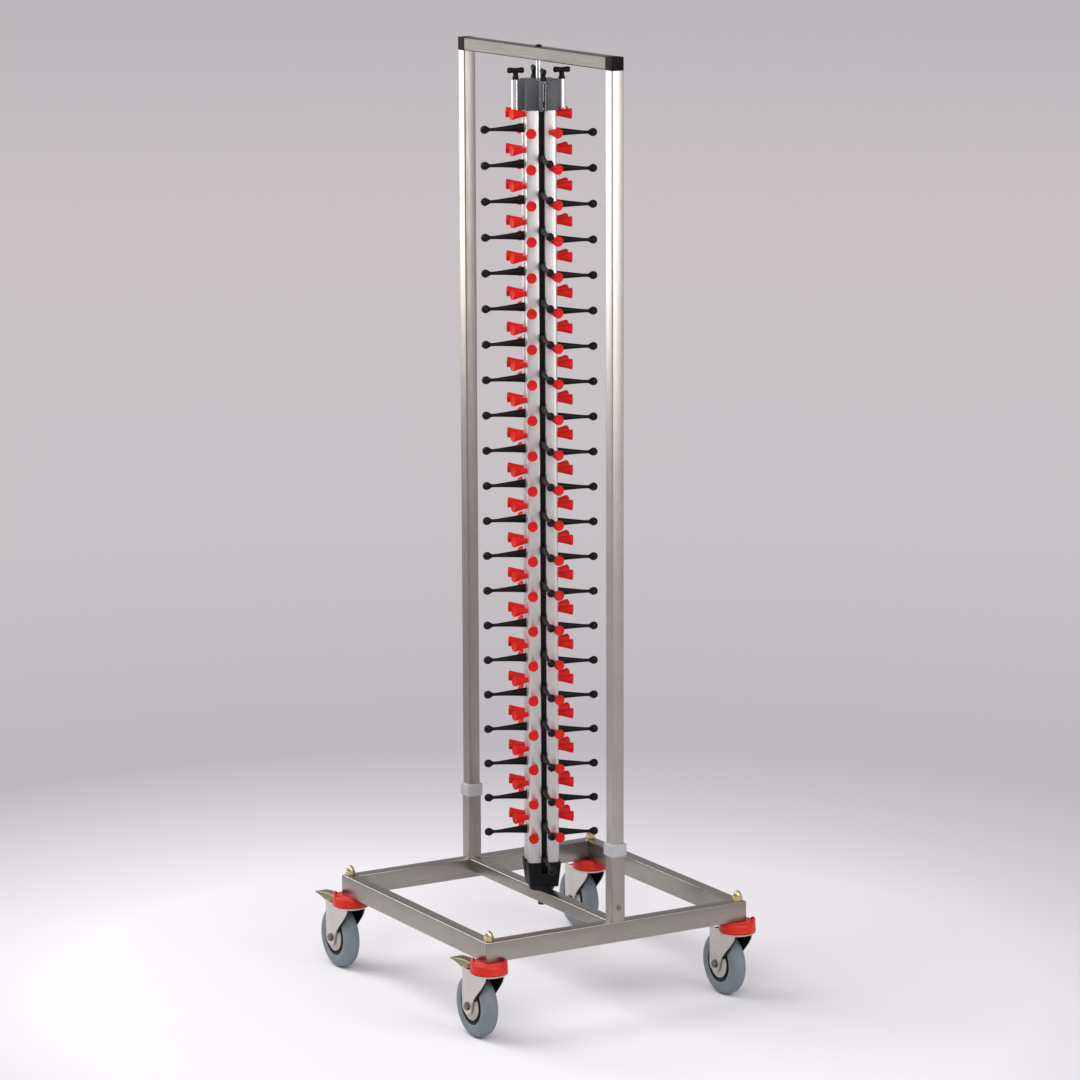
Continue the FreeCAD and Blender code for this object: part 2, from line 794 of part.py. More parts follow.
def arm_rail(face, index):
    """The rail that slides in a slot of the column, and its lug with the spindle's hole."""
    top_cone = "dims.cone_top_front" if face in ("front", "back") else (
        "dims.cone_top_front + dims.level_pitch / 2"
    )
    lowest = f"{top_cone} - dims.setting_{face} - (dims.levels - 1) * dims.level_pitch"
    bottom = f"{lowest} + dims.arm_droop - dims.rail_tail"
    lug_middle = f"dims.lug_highest - (dims.setting_{face} - dims.arm_setting_least)"
    lug_low = f"{lug_middle} - dims.lug_high / 2"
    bar = box(
        "dims.rail_outer - dims.rail_inner", "2 * dims.rail_half", f"{lug_low} - ({bottom})",
        "dims.rail_inner", "-dims.rail_half", bottom,
    )
    lug = box(
        "dims.lug_outer - dims.lug_inner", "2 * dims.lug_half", "dims.lug_high",
        "dims.lug_inner", "-dims.lug_half", lug_low,
    )
    hole = many_sided(SMALL_SIDES, SPINDLE_HOLE, "dims.lug_high", "dims.screw_reach", "0", lug_low)
    rail = fused(bar, cut(lug, hole))
    rail.Placement = face_placement(index)
    return named(rail, f"arm_rail_{face}")


# --------------------------------------------------------------------- casters


def caster_spot(corner):
    """Expressions for where a caster's swivel axis stands."""
    reach = "(dims.base_side / 2 - dims.caster_inset)"
    return [f"{sign} * {reach}" for sign in CORNERS[corner]]


def caster_ring(corner):
    """The red ring under a corner: a disc with two raised lobes that stand clear of the beams."""
    x, y = caster_spot(corner)
    high = "dims.beam_bottom - dims.ring_low"
    disc = many_sided(DISC_SIDES, "dims.ring_radius", high, x, y, "dims.ring_low")
    rim = cut(
        many_sided(DISC_SIDES, "dims.ring_radius", "dims.lobe_high", x, y, "dims.beam_bottom"),
        many_sided(DISC_SIDES, "dims.lobe_inner", "dims.lobe_high", x, y, "dims.beam_bottom"),
    )
    stripe = box("4 * dims.ring_radius", "dims.ring_radius", "dims.lobe_high")
    place(stripe, "-2 * dims.ring_radius", "-dims.ring_radius / 2", "0")
    across = turned(place(group(stripe), x, y, "dims.beam_bottom"), (0, 0, 1), LOBE_AZIMUTH)
    lobes = doc.addObject("Part::Common", "lobes")
    lobes.Base = rim
    lobes.Tool = across
    corner_radius = flats_at("dims.stem_radius", SMALL_SIDES)
    hole = many_sided(SMALL_SIDES, corner_radius, high, x, y, "dims.ring_low")
    return cut(fused(disc, cut(lobes, beam_footprint(corner))), hole)


def beam_footprint(corner):
    """The two beams that meet over a caster, a little larger all round."""
    side_x, side_y = CORNERS[corner]
    far = "dims.base_side / 2 + dims.lobe_gap"
    near = "dims.base_side / 2 - dims.beam_wide - dims.lobe_gap"
    wide, long = f"{far} - ({near})", f"2 * ({far})"
    x_low = near if side_x > 0 else f"-({far})"
    y_low = near if side_y > 0 else f"-({far})"
    along_x = box(long, wide, "dims.beam_high", f"-({far})", y_low, "dims.beam_bottom")
    along_y = box(wide, long, "dims.beam_high", x_low, f"-({far})", "dims.beam_bottom")
    return fused(along_x, along_y)


def king_pin(corner):
    """The pin that a fork swivels on, with the head that carries the fork."""
    x, y = caster_spot(corner)
    shank = rod("dims.stem_radius", "dims.beam_bottom - dims.stem_low", x, y, "dims.stem_low")
    head = many_sided(6, "dims.stem_head_radius", "dims.stem_head_high", x, y, "dims.stem_low")
    return fused(shank, head)


def cap_nut(corner):
    """The domed nut on a corner of the base."""
    x, y = caster_spot(corner)
    hexagon = many_sided(6, "dims.cap_nut_radius", "dims.cap_nut_hex_high", x, y, BEAM_TOP)
    reach = size("base_side") / 2 - size("caster_inset")
    low = size("beam_bottom") + size("beam_high") + size("cap_nut_hex_high")
    side_x, side_y = CORNERS[corner]
    crown_high = size("cap_nut_high") - size("cap_nut_hex_high")
    crown = dome(size("cap_nut_crown_radius"), crown_high, side_x * reach, side_y * reach, low)
    return fused(hexagon, crown)


def cheek_front(top):
    """The front edge of a fork's cheek: an S that swings back from the crown to the axle."""
    corners = []
    for step in range(CHEEK_STEPS, 0, -1):
        share = step / CHEEK_STEPS
        swing = share * share * (3 - 2 * share)
        x = f"-dims.fork_foot_front + (dims.fork_front + dims.fork_foot_front) * {swing:.4f}"
        z = f"dims.axle_up + (({top}) - dims.axle_up) * {share:.4f}"
        corners.append((x, z))
    return corners


def cheek_foot():
    """The rounded lower end of a fork's cheek, from its front edge round to its rear edge."""
    middle = "(dims.fork_rear + dims.fork_foot_front) / 2"
    half = "(dims.fork_rear - dims.fork_foot_front) / 2"
    angles = [-180.0 * i / CHEEK_STEPS for i in range(CHEEK_STEPS + 1)]
    return [
        (f"-{middle} + {half} * cos({a})", f"dims.axle_up + dims.fork_foot_deep * sin({a})") for a in angles
    ]


def fork(corner):
    """A pressed fork: a crown that turns under the ring and two cheeks down to the axle."""
    body = new_body(f"fork_{corner}")
    underside = "dims.crown_top - dims.crown_thick"
    cheek = [("-dims.fork_rear", underside), *cheek_front(underside), *cheek_foot()]
    pad(body, sketch(body, "XZ_Plane", cheek), "2 * dims.fork_half", both_ways=True)
    between = rectangle("-dims.fork_rear", "dims.fork_front", "0", "dims.crown_web_low")
    pocket(body, sketch(body, "XZ_Plane", between), "2 * dims.fork_inner_half", both_ways=True)
    crown = many_corners("dims.crown_radius", DISC_SIDES)
    body.Tip = pad(body, sketch(body, "XY_Plane", crown, lift=underside), "dims.crown_thick")
    if corner in BRAKED:
        pedal_ears(body)
    bore = sketch(body, "XY_Plane", many_corners(STEM_HOLE, SMALL_SIDES), lift="dims.crown_top")
    body.Tip = pocket(body, bore, "dims.crown_top - dims.crown_web_low")
    axle = many_corners(AXLE_HOLE, SMALL_SIDES, "-dims.trail", "dims.axle_up")
    body.Tip = pocket(body, sketch(body, "XZ_Plane", axle), both_ways=True)
    x, y = caster_spot(corner)
    return named(place(body, x, y), f"fork_{corner}")


def pedal_ears(body):
    """The two ears at the back of a fork that hold the brake pedal's pin."""
    inner, outer = "dims.pedal_half + dims.ear_gap", "dims.pedal_half + dims.ear_gap + dims.ear_thick"
    front, top = "-dims.pedal_pin_back + dims.ear_reach", "dims.pedal_pin_up + dims.ear_rise"
    ear = (
        ("-dims.fork_rear", "dims.crown_web_low"), (front, "dims.crown_web_low"),
        (front, "dims.crown_top"), ("-dims.pedal_pin_back + dims.ear_rise", top),
        ("-dims.pedal_pin_back - dims.ear_rise", top), ("-dims.fork_rear", "dims.pedal_pin_up"),
    )
    pad(body, sketch(body, "XZ_Plane", ear), f"2 * ({outer})", both_ways=True)
    gap = rectangle("-dims.fork_rear", front, "dims.crown_top - dims.crown_thick", top)
    pocket(body, sketch(body, "XZ_Plane", gap), f"2 * ({inner})", both_ways=True)
    hole = many_corners(PEDAL_HOLE, SMALL_SIDES, "-dims.pedal_pin_back", "dims.pedal_pin_up")
    body.Tip = pocket(body, sketch(body, "XZ_Plane", hole), both_ways=True)


def axle_bolt(corner):
    """The bolt that a wheel runs on, with its head and nut outside the cheeks."""
    low = "-dims.fork_half - dims.axle_head_high"
    head = many_sided(6, "dims.axle_head_radius", "dims.axle_head_high", z="dims.fork_half")
    nut = many_sided(6, "dims.axle_head_radius", "dims.axle_head_high", z=low)
    shank = rod("dims.axle_radius", "2 * dims.fork_half", z="-dims.fork_half")
    return named(on_axle(fused(shank, head, nut), corner), f"axle_bolt_{corner}")


def on_axle(piece, corner):
    """Lay a piece made about Z on a caster's axle, across the trolley."""
    x, y = caster_spot(corner)
    turned(piece, (1, 0, 0), -90)
    return place(piece, f"{x} - dims.trail", y, "dims.axle_up")


def tyre(corner):
    """A grey tyre with sloping shoulders, on the many flats of its wheel centre."""
    tread, half, slope = size("wheel_radius"), size("wheel_wide") / 2, size("tyre_shoulder")
    blank = doc.addObject("Part::Feature", "blank")
    blank.Shape = flat_sided([
        round_section(0, 0, -half, tread - slope, TYRE_SIDES),
        round_section(0, 0, slope - half, tread, TYRE_SIDES),
        round_section(0, 0, half - slope, tread, TYRE_SIDES),
        round_section(0, 0, half, tread - slope, TYRE_SIDES),
    ])
    seat = many_sided(RIM_SIDES, "dims.rim_radius", "dims.wheel_wide", z="-dims.wheel_wide / 2")
    return named(on_axle(cut(blank, seat), corner), f"tyre_{corner}")


def wheel_centre(corner):
    """The wheel centre, which runs on the axle bolt."""
    disc = many_sided(RIM_SIDES, "dims.rim_radius", "dims.rim_wide", z="-dims.rim_wide / 2")
    bore = many_sided(SMALL_SIDES, AXLE_HOLE, "dims.rim_wide", z="-dims.rim_wide / 2")
    return named(on_axle(cut(disc, bore), corner), f"wheel_centre_{corner}")


def brake_pedal(corner):
    """The pedal that is pressed down on a wheel, hinged on a pin between the fork's ears."""
    body = new_body(f"brake_pedal_{corner}")
    pin_x, pin_z, eye = "-dims.pedal_pin_back", "dims.pedal_pin_up", "dims.pedal_eye"
    middle = f"{pin_z} + dims.pedal_rise / 2"
    strip = (
        (f"{pin_x} + {eye}", f"{pin_z} - {eye} / 2"), (pin_x, f"{pin_z} - {eye}"),
        (f"{pin_x} - dims.pedal_long / 2", f"{middle} - dims.pedal_thick / 2"),
        (f"{pin_x} - dims.pedal_long", f"{pin_z} + dims.pedal_rise - dims.pedal_thick"),
        (f"{pin_x} - dims.pedal_long", f"{pin_z} + dims.pedal_rise"),
        (f"{pin_x} - dims.pedal_long / 2", f"{middle} + dims.pedal_thick / 2"),
        (pin_x, f"{pin_z} + {eye}"), (f"{pin_x} + {eye}", f"{pin_z} + {eye} / 2"),
    )
    pad(body, sketch(body, "XZ_Plane", strip), "2 * dims.pedal_half", both_ways=True)
    pin_long = "2 * (dims.pedal_half + dims.ear_gap + dims.ear_thick)"
    pin = sketch(body, "XZ_Plane", circle=(pin_x, pin_z, "dims.pedal_pin_radius"))
    body.Tip = pad(body, pin, pin_long, both_ways=True)
    x, y = caster_spot(corner)
    return named(place(body, x, y), f"brake_pedal_{corner}")


# ------------------------------------------------------------------- the cart


def pieces_of(make, label):
    """One node of the alike pieces that stand at the four corners."""
    return named(group(*[make(corner) for corner in CORNERS]), label)


def build():
    for label, degrees in (("front", 0), ("right", 90), ("rear", 180), ("left", 270)):
        base_beam(f"base_beam_{label}", degrees)
    cross_member()
    named(group(socket_tube(-1), socket_tube(1)), "socket_tubes")
    named(group(clamp_collar(-1), clamp_collar(1)), "clamp_collars")
    named(group(clamp_screw(-1), clamp_screw(1)), "clamp_screws")
    upright("upright_left", -1)
    upright("upright_right", 1)
    crossbar()
    named(group(corner_connector(-1), corner_connector(1)), "corner_connectors")
    pivot_bolt()
    foot_pivot()
    column_profiles()
    column_core()
    head_block()
    foot_block()
    guide_sleeves()
    for index, face in enumerate(FACES):
        rubber_cones(face, index)
        arm_rail(face, index)
        plate_arms(face, index)
        wing_screw(face, index)
    pieces_of(caster_ring, "caster_rings")
    pieces_of(king_pin, "king_pins")
    pieces_of(cap_nut, "cap_nuts")
    for corner in CORNERS:
        fork(corner)
        axle_bolt(corner)
        tyre(corner)
        wheel_centre(corner)
    for corner in BRAKED:
        brake_pedal(corner)


def check():
    """Stop on any object that failed to build."""
    for thing in doc.Objects:
        if {"Invalid", "Error"} & set(thing.State):
            raise RuntimeError(f"{thing.Name} ({thing.Label}): {thing.State}")
        shape = getattr(thing, "Shape", None)
        if shape is not None and thing.TypeId.startswith(("Part::", "PartDesign::Body")):
            if shape.isNull() or not shape.isValid():
                raise RuntimeError(f"{thing.Name} ({thing.Label}): bad shape")


build()
doc.recompute()
check()
os.makedirs("parts", exist_ok=True)
for node in NODES:
    node.Shape.exportStep(f"parts/{node.Label}.step")
    print(node.Label, len(node.Shape.Solids), round(node.Shape.Volume / 1000, 1))
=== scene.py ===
import json
from math import asin, atan2, cos, degrees, hypot, pi, radians, sin

import bmesh
import bpy
from mathutils import Matrix, Vector


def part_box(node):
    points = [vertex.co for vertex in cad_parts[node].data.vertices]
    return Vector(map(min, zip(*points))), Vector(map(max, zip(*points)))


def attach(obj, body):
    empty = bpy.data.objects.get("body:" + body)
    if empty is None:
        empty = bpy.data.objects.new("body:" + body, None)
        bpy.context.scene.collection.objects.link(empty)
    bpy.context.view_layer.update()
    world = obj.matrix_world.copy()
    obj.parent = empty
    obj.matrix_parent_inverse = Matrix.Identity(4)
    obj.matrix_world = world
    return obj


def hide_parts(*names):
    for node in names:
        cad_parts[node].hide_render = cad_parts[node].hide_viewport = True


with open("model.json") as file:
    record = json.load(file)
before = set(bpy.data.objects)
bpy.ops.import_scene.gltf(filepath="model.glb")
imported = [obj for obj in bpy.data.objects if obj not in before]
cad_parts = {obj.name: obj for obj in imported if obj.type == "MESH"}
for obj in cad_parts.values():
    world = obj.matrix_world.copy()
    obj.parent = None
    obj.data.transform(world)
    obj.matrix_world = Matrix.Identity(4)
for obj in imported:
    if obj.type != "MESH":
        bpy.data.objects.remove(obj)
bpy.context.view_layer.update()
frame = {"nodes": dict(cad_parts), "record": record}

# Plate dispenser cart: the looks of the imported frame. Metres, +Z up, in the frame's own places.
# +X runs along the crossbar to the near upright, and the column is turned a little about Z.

MM = 0.001
FACES = ("front", "right", "back", "left")
CORNERS = {"front_left": (-1, -1), "front_right": (1, -1), "rear_right": (1, 1), "rear_left": (-1, 1)}
BRAKED = ("front_left", "front_right")
BASE = "base"
COLUMN = "column"

# ---------------------------------------------------------------- sizes from the frame


def low(node):
    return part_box(node)[0]


def high(node):
    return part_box(node)[1]


JOINT_AT = {
    joint["name"]: Vector(joint["pos_m"])
    for joint in frame["record"]["behaviour"]["joints"] if "pos_m" in joint
}
FACE_TURN = {face: atan2(JOINT_AT[f"wing_turn_{face}"].y, JOINT_AT[f"wing_turn_{face}"].x) for face in FACES}
SCREW_REACH = hypot(JOINT_AT["wing_turn_front"].x, JOINT_AT["wing_turn_front"].y)
SWIVEL_AT = {corner: JOINT_AT[f"swivel_{corner}"] for corner in CORNERS}
AXLE_AT = {corner: JOINT_AT[f"roll_{corner}"] for corner in CORNERS}

BASE_HALF = high("base_beam_front").x
BEAM_WIDE = high("base_beam_front").y - low("base_beam_front").y
BEAM_LOW, BEAM_TOP = low("base_beam_front").z, high("base_beam_front").z
UPRIGHT_HALF = (high("upright_right").x - low("upright_right").x) / 2
UPRIGHT_X = high("upright_right").x - UPRIGHT_HALF
FRAME_TOP = high("crossbar").z
SOCKET_HALF = high("socket_tubes").y
SOCKET_TOP = high("socket_tubes").z
COLLAR_HALF = high("clamp_collars").y
COLLAR_TOP = high("clamp_collars").z
COLUMN_LOW, COLUMN_TOP = low("column_core").z, high("column_core").z
HEAD_TOP = high("head_block").z
RING_LOW = low("caster_rings").z
LOBE_RISE, LOBE_INNER = 5.5 * MM, 30.2 * MM
RING_RADIUS = high("caster_rings").y - SWIVEL_AT["rear_right"].y
CROWN_TOP = SWIVEL_AT["front_right"].z
WHEEL_RADIUS = AXLE_AT["front_right"].z
TRAIL = SWIVEL_AT["front_right"].x - AXLE_AT["front_right"].x
# The axle bolt's washer and head, on each side of the fork.
AXLE_WASHER, AXLE_HEX = 1.2 * MM, 3.8 * MM
FORK_HALF = high("axle_bolt_rear_left").y - AXLE_AT["rear_left"].y - AXLE_WASHER - AXLE_HEX
FORK_REAR = SWIVEL_AT["rear_left"].x - low("fork_rear_left").x
FORK_FRONT = 22 * MM
FORK_SHEET = 2.5 * MM
# The rounded foot of a cheek: its front edge behind the swivel, and its depth under the axle.
FOOT_FRONT = TRAIL - 16 * MM
FOOT_DEEP = 17 * MM
TYRE_HALF = high("tyre_rear_left").y - AXLE_AT["rear_left"].y
RIM_RADIUS = 37 * MM

LEVELS = 21
LEVEL_PITCH = 68.6 * MM
COLUMN_HALF = 30 * MM
PROFILE_SIDE = 25 * MM
# The widest part of a cone, and the root of an arm: how far they reach over their middle.
CONE_RADIUS = 10.2 * MM
ARM_ROOT_RISE = 11.7 * MM

# ---------------------------------------------------------------- meshes


def rounded_outline(half_x, half_y, radius, steps=4, at=(0.0, 0.0)):
    """A rectangle's outline with round corners, anticlockwise."""
    points = []
    for quarter, (side_x, side_y) in enumerate(((1, 1), (-1, 1), (-1, -1), (1, -1))):
        middle_x = at[0] + side_x * (half_x - radius)
        middle_y = at[1] + side_y * (half_y - radius)
        for i in range(steps + 1):
            angle = pi / 2 * (quarter + i / steps)
            points.append((middle_x + radius * cos(angle), middle_y + radius * sin(angle)))
    return points


def turns(count):
    """A full turn in equal steps."""
    return [2 * pi * i / count for i in range(count)]


def round_outline(radius, count):
    return [(radius * cos(a), radius * sin(a)) for a in turns(count)]


def at_height(outline, z):
    return [Vector((x, y, z)) for x, y in outline]


def skin(rings, endless=False):
    """A skin through rings of equally many points. The ends are closed, or the last ring meets the first."""
    bm = bmesh.new()
    rows = [[bm.verts.new(point) for point in ring] for ring in rings]
    pairs = list(zip(rows, rows[1:])) + ([(rows[-1], rows[0])] if endless else [])
    for one, two in pairs:
        for i in range(len(one)):
            j = (i + 1) % len(one)
            bm.faces.new((one[i], one[j], two[j], two[i]))
    if not endless:
        bm.faces.new(rows[0][::-1])
        bm.faces.new(rows[-1])
    return bm


def lathe(profile, count=48, hollow=False):
    """A turned piece about Z from (radius, height) points. A hollow one's profile closes on itself."""
    rings = [at_height(round_outline(max(radius, 1e-7), count), z) for radius, z in profile]
    bm = skin(rings, endless=hollow)
    bmesh.ops.remove_doubles(bm, verts=bm.verts, dist=1e-6)
    return bm


def sheet_metal(outer, inner):
    """A closed shell between two grids of points, as many rows and columns in each."""
    bm = bmesh.new()
    sides = [[[bm.verts.new(point) for point in row] for row in grid] for grid in (outer, inner)]
    rows, columns = len(outer), len(outer[0])
    for grid in sides:
        for i in range(rows - 1):
            for j in range(columns - 1):
                bm.faces.new((grid[i][j], grid[i + 1][j], grid[i + 1][j + 1], grid[i][j + 1]))
    rim = [(i, 0) for i in range(rows)] + [(rows - 1, j) for j in range(1, columns)]
    rim += [(i, columns - 1) for i in range(rows - 2, -1, -1)] + [(0, j) for j in range(columns - 2, 0, -1)]
    for (i, j), (k, m) in zip(rim, rim[1:] + rim[:1]):
        bm.faces.new((sides[0][i][j], sides[0][k][m], sides[1][k][m], sides[1][i][j]))
    return bm


def joined(*parts):
    """Several meshes as one."""
    whole = bmesh.new()
    for part in parts:
        mesh = bpy.data.meshes.new("part")
        part.to_mesh(mesh)
        part.free()
        whole.from_mesh(mesh)
        bpy.data.meshes.remove(mesh)
    return whole


def moved(bm, matrix):
    bm.transform(matrix)
    return bm


def turn_z(angle):
    return Matrix.Rotation(angle, 4, "Z")


def shift(x=0.0, y=0.0, z=0.0):
    return Matrix.Translation((x, y, z))


def new_object(name, bm):
    """An object at the origin from a mesh in its place, its faces pointing out."""
    bmesh.ops.remove_doubles(bm, verts=bm.verts, dist=1e-7)
    bmesh.ops.recalc_face_normals(bm, faces=bm.faces)
    mesh = bpy.data.meshes.new(name)
    bm.to_mesh(mesh)
    bm.free()
    made = bpy.data.objects.new(name, mesh)
    bpy.context.scene.collection.objects.link(made)
    return made


def settle(made):
    """Turn an object with modifiers into a plain mesh."""
    depsgraph = bpy.context.evaluated_depsgraph_get()
    mesh = bpy.data.meshes.new_from_object(made.evaluated_get(depsgraph))
    made.modifiers.clear()
    old = made.data
    made.data = mesh
    bpy.data.meshes.remove(old)
    return made


def softened(node, name, width, segments=2):
    """A copy of a CAD node with its edges rounded."""
    source = frame["nodes"][node].data
    bm = bmesh.new()
    bm.from_mesh(source)
    bmesh.ops.remove_doubles(bm, verts=bm.verts, dist=1e-6)
    bmesh.ops.dissolve_limit(bm, angle_limit=radians(1), verts=bm.verts, edges=bm.edges)
    made = new_object(name, bm)
    bevel = made.modifiers.new("edges", "BEVEL")
    bevel.width = width
    bevel.segments = segments
    bevel.limit_method = "ANGLE"
    bevel.angle_limit = radians(35)
    return settle(made)


def dress(made, material, body, nodes=(), crease=38.0):
    """Give a piece its material, shading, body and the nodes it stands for."""
    made.data.materials.clear()
    made.data.materials.append(material)
    made.data.shade_smooth()
    made.data.set_sharp_from_angle(angle=radians(crease))
    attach(made, body)
    if nodes:
        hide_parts(*nodes)
    return made


def finish_node(node, material):
    """A CAD node that stays as it is, in a better material."""
    mesh = frame["nodes"][node].data
    mesh.materials.clear()
    mesh.materials.append(material)


# ---------------------------------------------------------------- materials


class Finish:
    """A node material under construction: a Principled shader and patterns on Object coordinates."""

    def __init__(self, name, colour, roughness, **sockets):
        self.material = bpy.data.materials.new(name)
        self.material.use_nodes = True
        self.nodes = self.material.node_tree.nodes
        self.links = self.material.node_tree.links
        self.shader = self.nodes["Principled BSDF"]
        self.shader.inputs["Base Color"].default_value = (*colour, 1.0)
        self.shader.inputs["Roughness"].default_value = roughness
        for socket, value in sockets.items():
            self.shader.inputs[socket.replace("_", " ")].default_value = value
        self.place = self.nodes.new("ShaderNodeTexCoord").outputs["Object"]

    def noise(self, scale, detail=3.0, stretch=(1.0, 1.0, 1.0)):
        """Noise whose features are 1 / scale metres, drawn out where stretch is under 1."""
        mapping = self.nodes.new("ShaderNodeMapping")
        mapping.inputs["Scale"].default_value = stretch
        self.links.new(self.place, mapping.inputs["Vector"])
        texture = self.nodes.new("ShaderNodeTexNoise")
        texture.inputs["Scale"].default_value = scale
        texture.inputs["Detail"].default_value = detail
        self.links.new(mapping.outputs["Vector"], texture.inputs["Vector"])
        return texture.outputs["Fac"]

    def ranged(self, pattern, least, most, begin=0.3, end=0.7):
        """The pattern's values between begin and end, spread from least to most."""
        node = self.nodes.new("ShaderNodeMapRange")
        for socket, value in (("From Min", begin), ("From Max", end), ("To Min", least), ("To Max", most)):
            node.inputs[socket].default_value = value
        self.links.new(pattern, node.inputs["Value"])
        return node.outputs["Result"]

    def blend(self, factor, one, two):
        """A colour between two, each a colour or another pattern's colour."""
        node = self.nodes.new("ShaderNodeMix")
        node.data_type = "RGBA"
        self.links.new(factor, node.inputs["Factor"])
        for socket, value in ((node.inputs[6], one), (node.inputs[7], two)):
            if isinstance(value, tuple):
                socket.default_value = (*value, 1.0)
            else:
                self.links.new(value, socket)
        return node.outputs[2]

    def colour(self, output):
        self.links.new(output, self.shader.inputs["Base Color"])

    def roughness(self, output):
        self.links.new(output, self.shader.inputs["Roughness"])

    def bump(self, pattern, depth, strength):
        """Raise the surface by depth metres where the pattern is 1, and give back the finished material."""
        node = self.nodes.new("ShaderNodeBump")
        node.inputs["Strength"].default_value = strength
        node.inputs["Distance"].default_value = depth
        self.links.new(pattern, node.inputs["Height"])
        self.links.new(node.outputs["Normal"], self.shader.inputs["Normal"])
        return self.material


def scaled(colour, by):
    return tuple(channel * by for channel in colour)


def brushed_steel(name, along, colour):
    """Stainless tube, brushed along its length, with faint handling marks."""
    finish = Finish(name, colour, 0.3, Metallic=1.0)
    stretch = tuple(0.015 if axis == along else 1.0 for axis in "xyz")
    brushing = finish.noise(900.0, 2.0, stretch)
    smudges = finish.noise(9.0, 4.0)
    smudged = finish.ranged(smudges, 0.0, 1.0, 0.35, 0.65)
    tone = finish.blend(smudged, scaled(colour, 0.93), scaled(colour, 1.04))
    streaked = finish.blend(finish.ranged(brushing, 0.0, 0.35), tone, scaled(colour, 0.82))
    finish.colour(streaked)
    finish.roughness(finish.ranged(brushing, 0.26, 0.36))
    return finish.bump(brushing, 0.02 * MM, 0.5)


def anodised_column(name):
    """Satin aluminium with drawing lines along the profile."""
    finish = Finish(name, (0.72, 0.71, 0.7), 0.34, Metallic=0.85)
    lines = finish.noise(700.0, 2.0, (1.0, 1.0, 0.01))
    cloud = finish.noise(6.0, 3.0)
    tone = finish.blend(finish.ranged(cloud, 0.0, 1.0), (0.7, 0.69, 0.68), (0.78, 0.77, 0.76))
    finish.colour(finish.blend(finish.ranged(lines, 0.0, 0.3), tone, (0.6, 0.59, 0.58)))
    finish.roughness(finish.ranged(lines, 0.3, 0.42))
    return finish.bump(lines, 0.01 * MM, 0.4)


def polished_metal(name, colour, roughness):
    """Bright metal with faint wipe marks."""
    finish = Finish(name, colour, roughness, Metallic=1.0)
    marks = finish.noise(60.0, 5.0)
    finish.colour(finish.blend(finish.ranged(marks, 0.0, 1.0), scaled(colour, 0.9), colour))
    finish.roughness(finish.ranged(marks, roughness * 0.8, roughness * 1.5))
    return finish.bump(finish.noise(400.0), 0.015 * MM, 0.4)


def moulded_plastic(name, colour, roughness, grain=900.0, **sockets):
    """Moulded plastic with a fine eroded grain and slightly uneven gloss."""
    finish = Finish(name, colour, roughness, **sockets)
    cloud = finish.noise(25.0, 4.0)
    finish.colour(finish.blend(finish.ranged(cloud, 0.0, 1.0), scaled(colour, 0.88), scaled(colour, 1.1)))
    finish.roughness(finish.ranged(cloud, roughness * 0.88, roughness * 1.15))
    return finish.bump(finish.noise(grain, 4.0), 0.04 * MM, 0.6)


def worn_rubber(name, colour, roughness, **sockets):
    """Rubber with a dusty bloom and fine mould texture."""
    finish = Finish(name, colour, roughness, **sockets)
    cloud = finish.noise(40.0, 5.0)
    speck = finish.noise(500.0, 2.0)
    tone = finish.blend(finish.ranged(cloud, 0.0, 1.0), scaled(colour, 0.86), scaled(colour, 1.12))
    finish.colour(finish.blend(finish.ranged(speck, 0.0, 0.25, 0.5, 0.75), tone, scaled(colour, 1.35)))
    finish.roughness(finish.ranged(cloud, roughness * 0.9, min(1.0, roughness * 1.15)))
    return finish.bump(speck, 0.08 * MM, 0.5)


# One brushed stainless steel in lit and shaded copies: the near upright's lighter tone is painted light, and
# the far upright's and the sockets' darker tone is painted shade.
NEAR_LIT_TONE = (0.5, 0.475, 0.445)
FAR_SHADED_TONE = (0.37, 0.345, 0.315)
# The base tubes' darker tone on the same steel is painted shade.
BASE_SHADED_TONE = (0.35, 0.328, 0.3)
steel_x = brushed_steel("base_steel_brushed_shaded_x", "x", BASE_SHADED_TONE)
steel_y = brushed_steel("base_steel_brushed_shaded_y", "y", BASE_SHADED_TONE)
steel_painted_lit = brushed_steel("upright_steel_painted_lit", "z", NEAR_LIT_TONE)
steel_painted_shade = brushed_steel("upright_steel_painted_shade", "z", FAR_SHADED_TONE)
# The crossbar's near-black tone on the same steel is painted shade.
crossbar_steel_painted_shade = brushed_steel("crossbar_brushed_steel_painted_shade", "x", (0.1, 0.09, 0.082))
column_finish = anodised_column("column_aluminium")
sleeve_finish = polished_metal("sleeve_aluminium", (0.86, 0.86, 0.87), 0.14)
# The front sleeve's dark copy of the aluminium is painted shade.
shaded_sleeve_finish = polished_metal("sleeve_aluminium_painted_shade", (0.2, 0.2, 0.21), 0.34)
# The foot pivot's near-black steel is painted shade in the gap under the foot block.
pivot_shade_finish = polished_metal("pivot_steel_painted_shade", (0.03, 0.028, 0.027), 0.38)
bolt_finish = polished_metal("bolt_steel", (0.55, 0.54, 0.53), 0.24)
axle_finish = polished_metal("axle_bolt_steel", (0.2, 0.18, 0.15), 0.34)
brass_finish = polished_metal("cap_nut_brass", (0.62, 0.52, 0.27), 0.3)
fork_finish = polished_metal("fork_bright_steel", (0.62, 0.59, 0.55), 0.3)
pedal_finish = polished_metal("pedal_steel", (0.34, 0.29, 0.2), 0.38)
black_finish = moulded_plastic("black_nylon", (0.004, 0.004, 0.005), 0.46, Specular_IOR_Level=0.16)
connector_finish = moulded_plastic("corner_nylon", (0.004, 0.004, 0.005), 0.55, Specular_IOR_Level=0.1)
head_finish = moulded_plastic("head_grey_nylon", (0.07, 0.07, 0.082), 0.45)
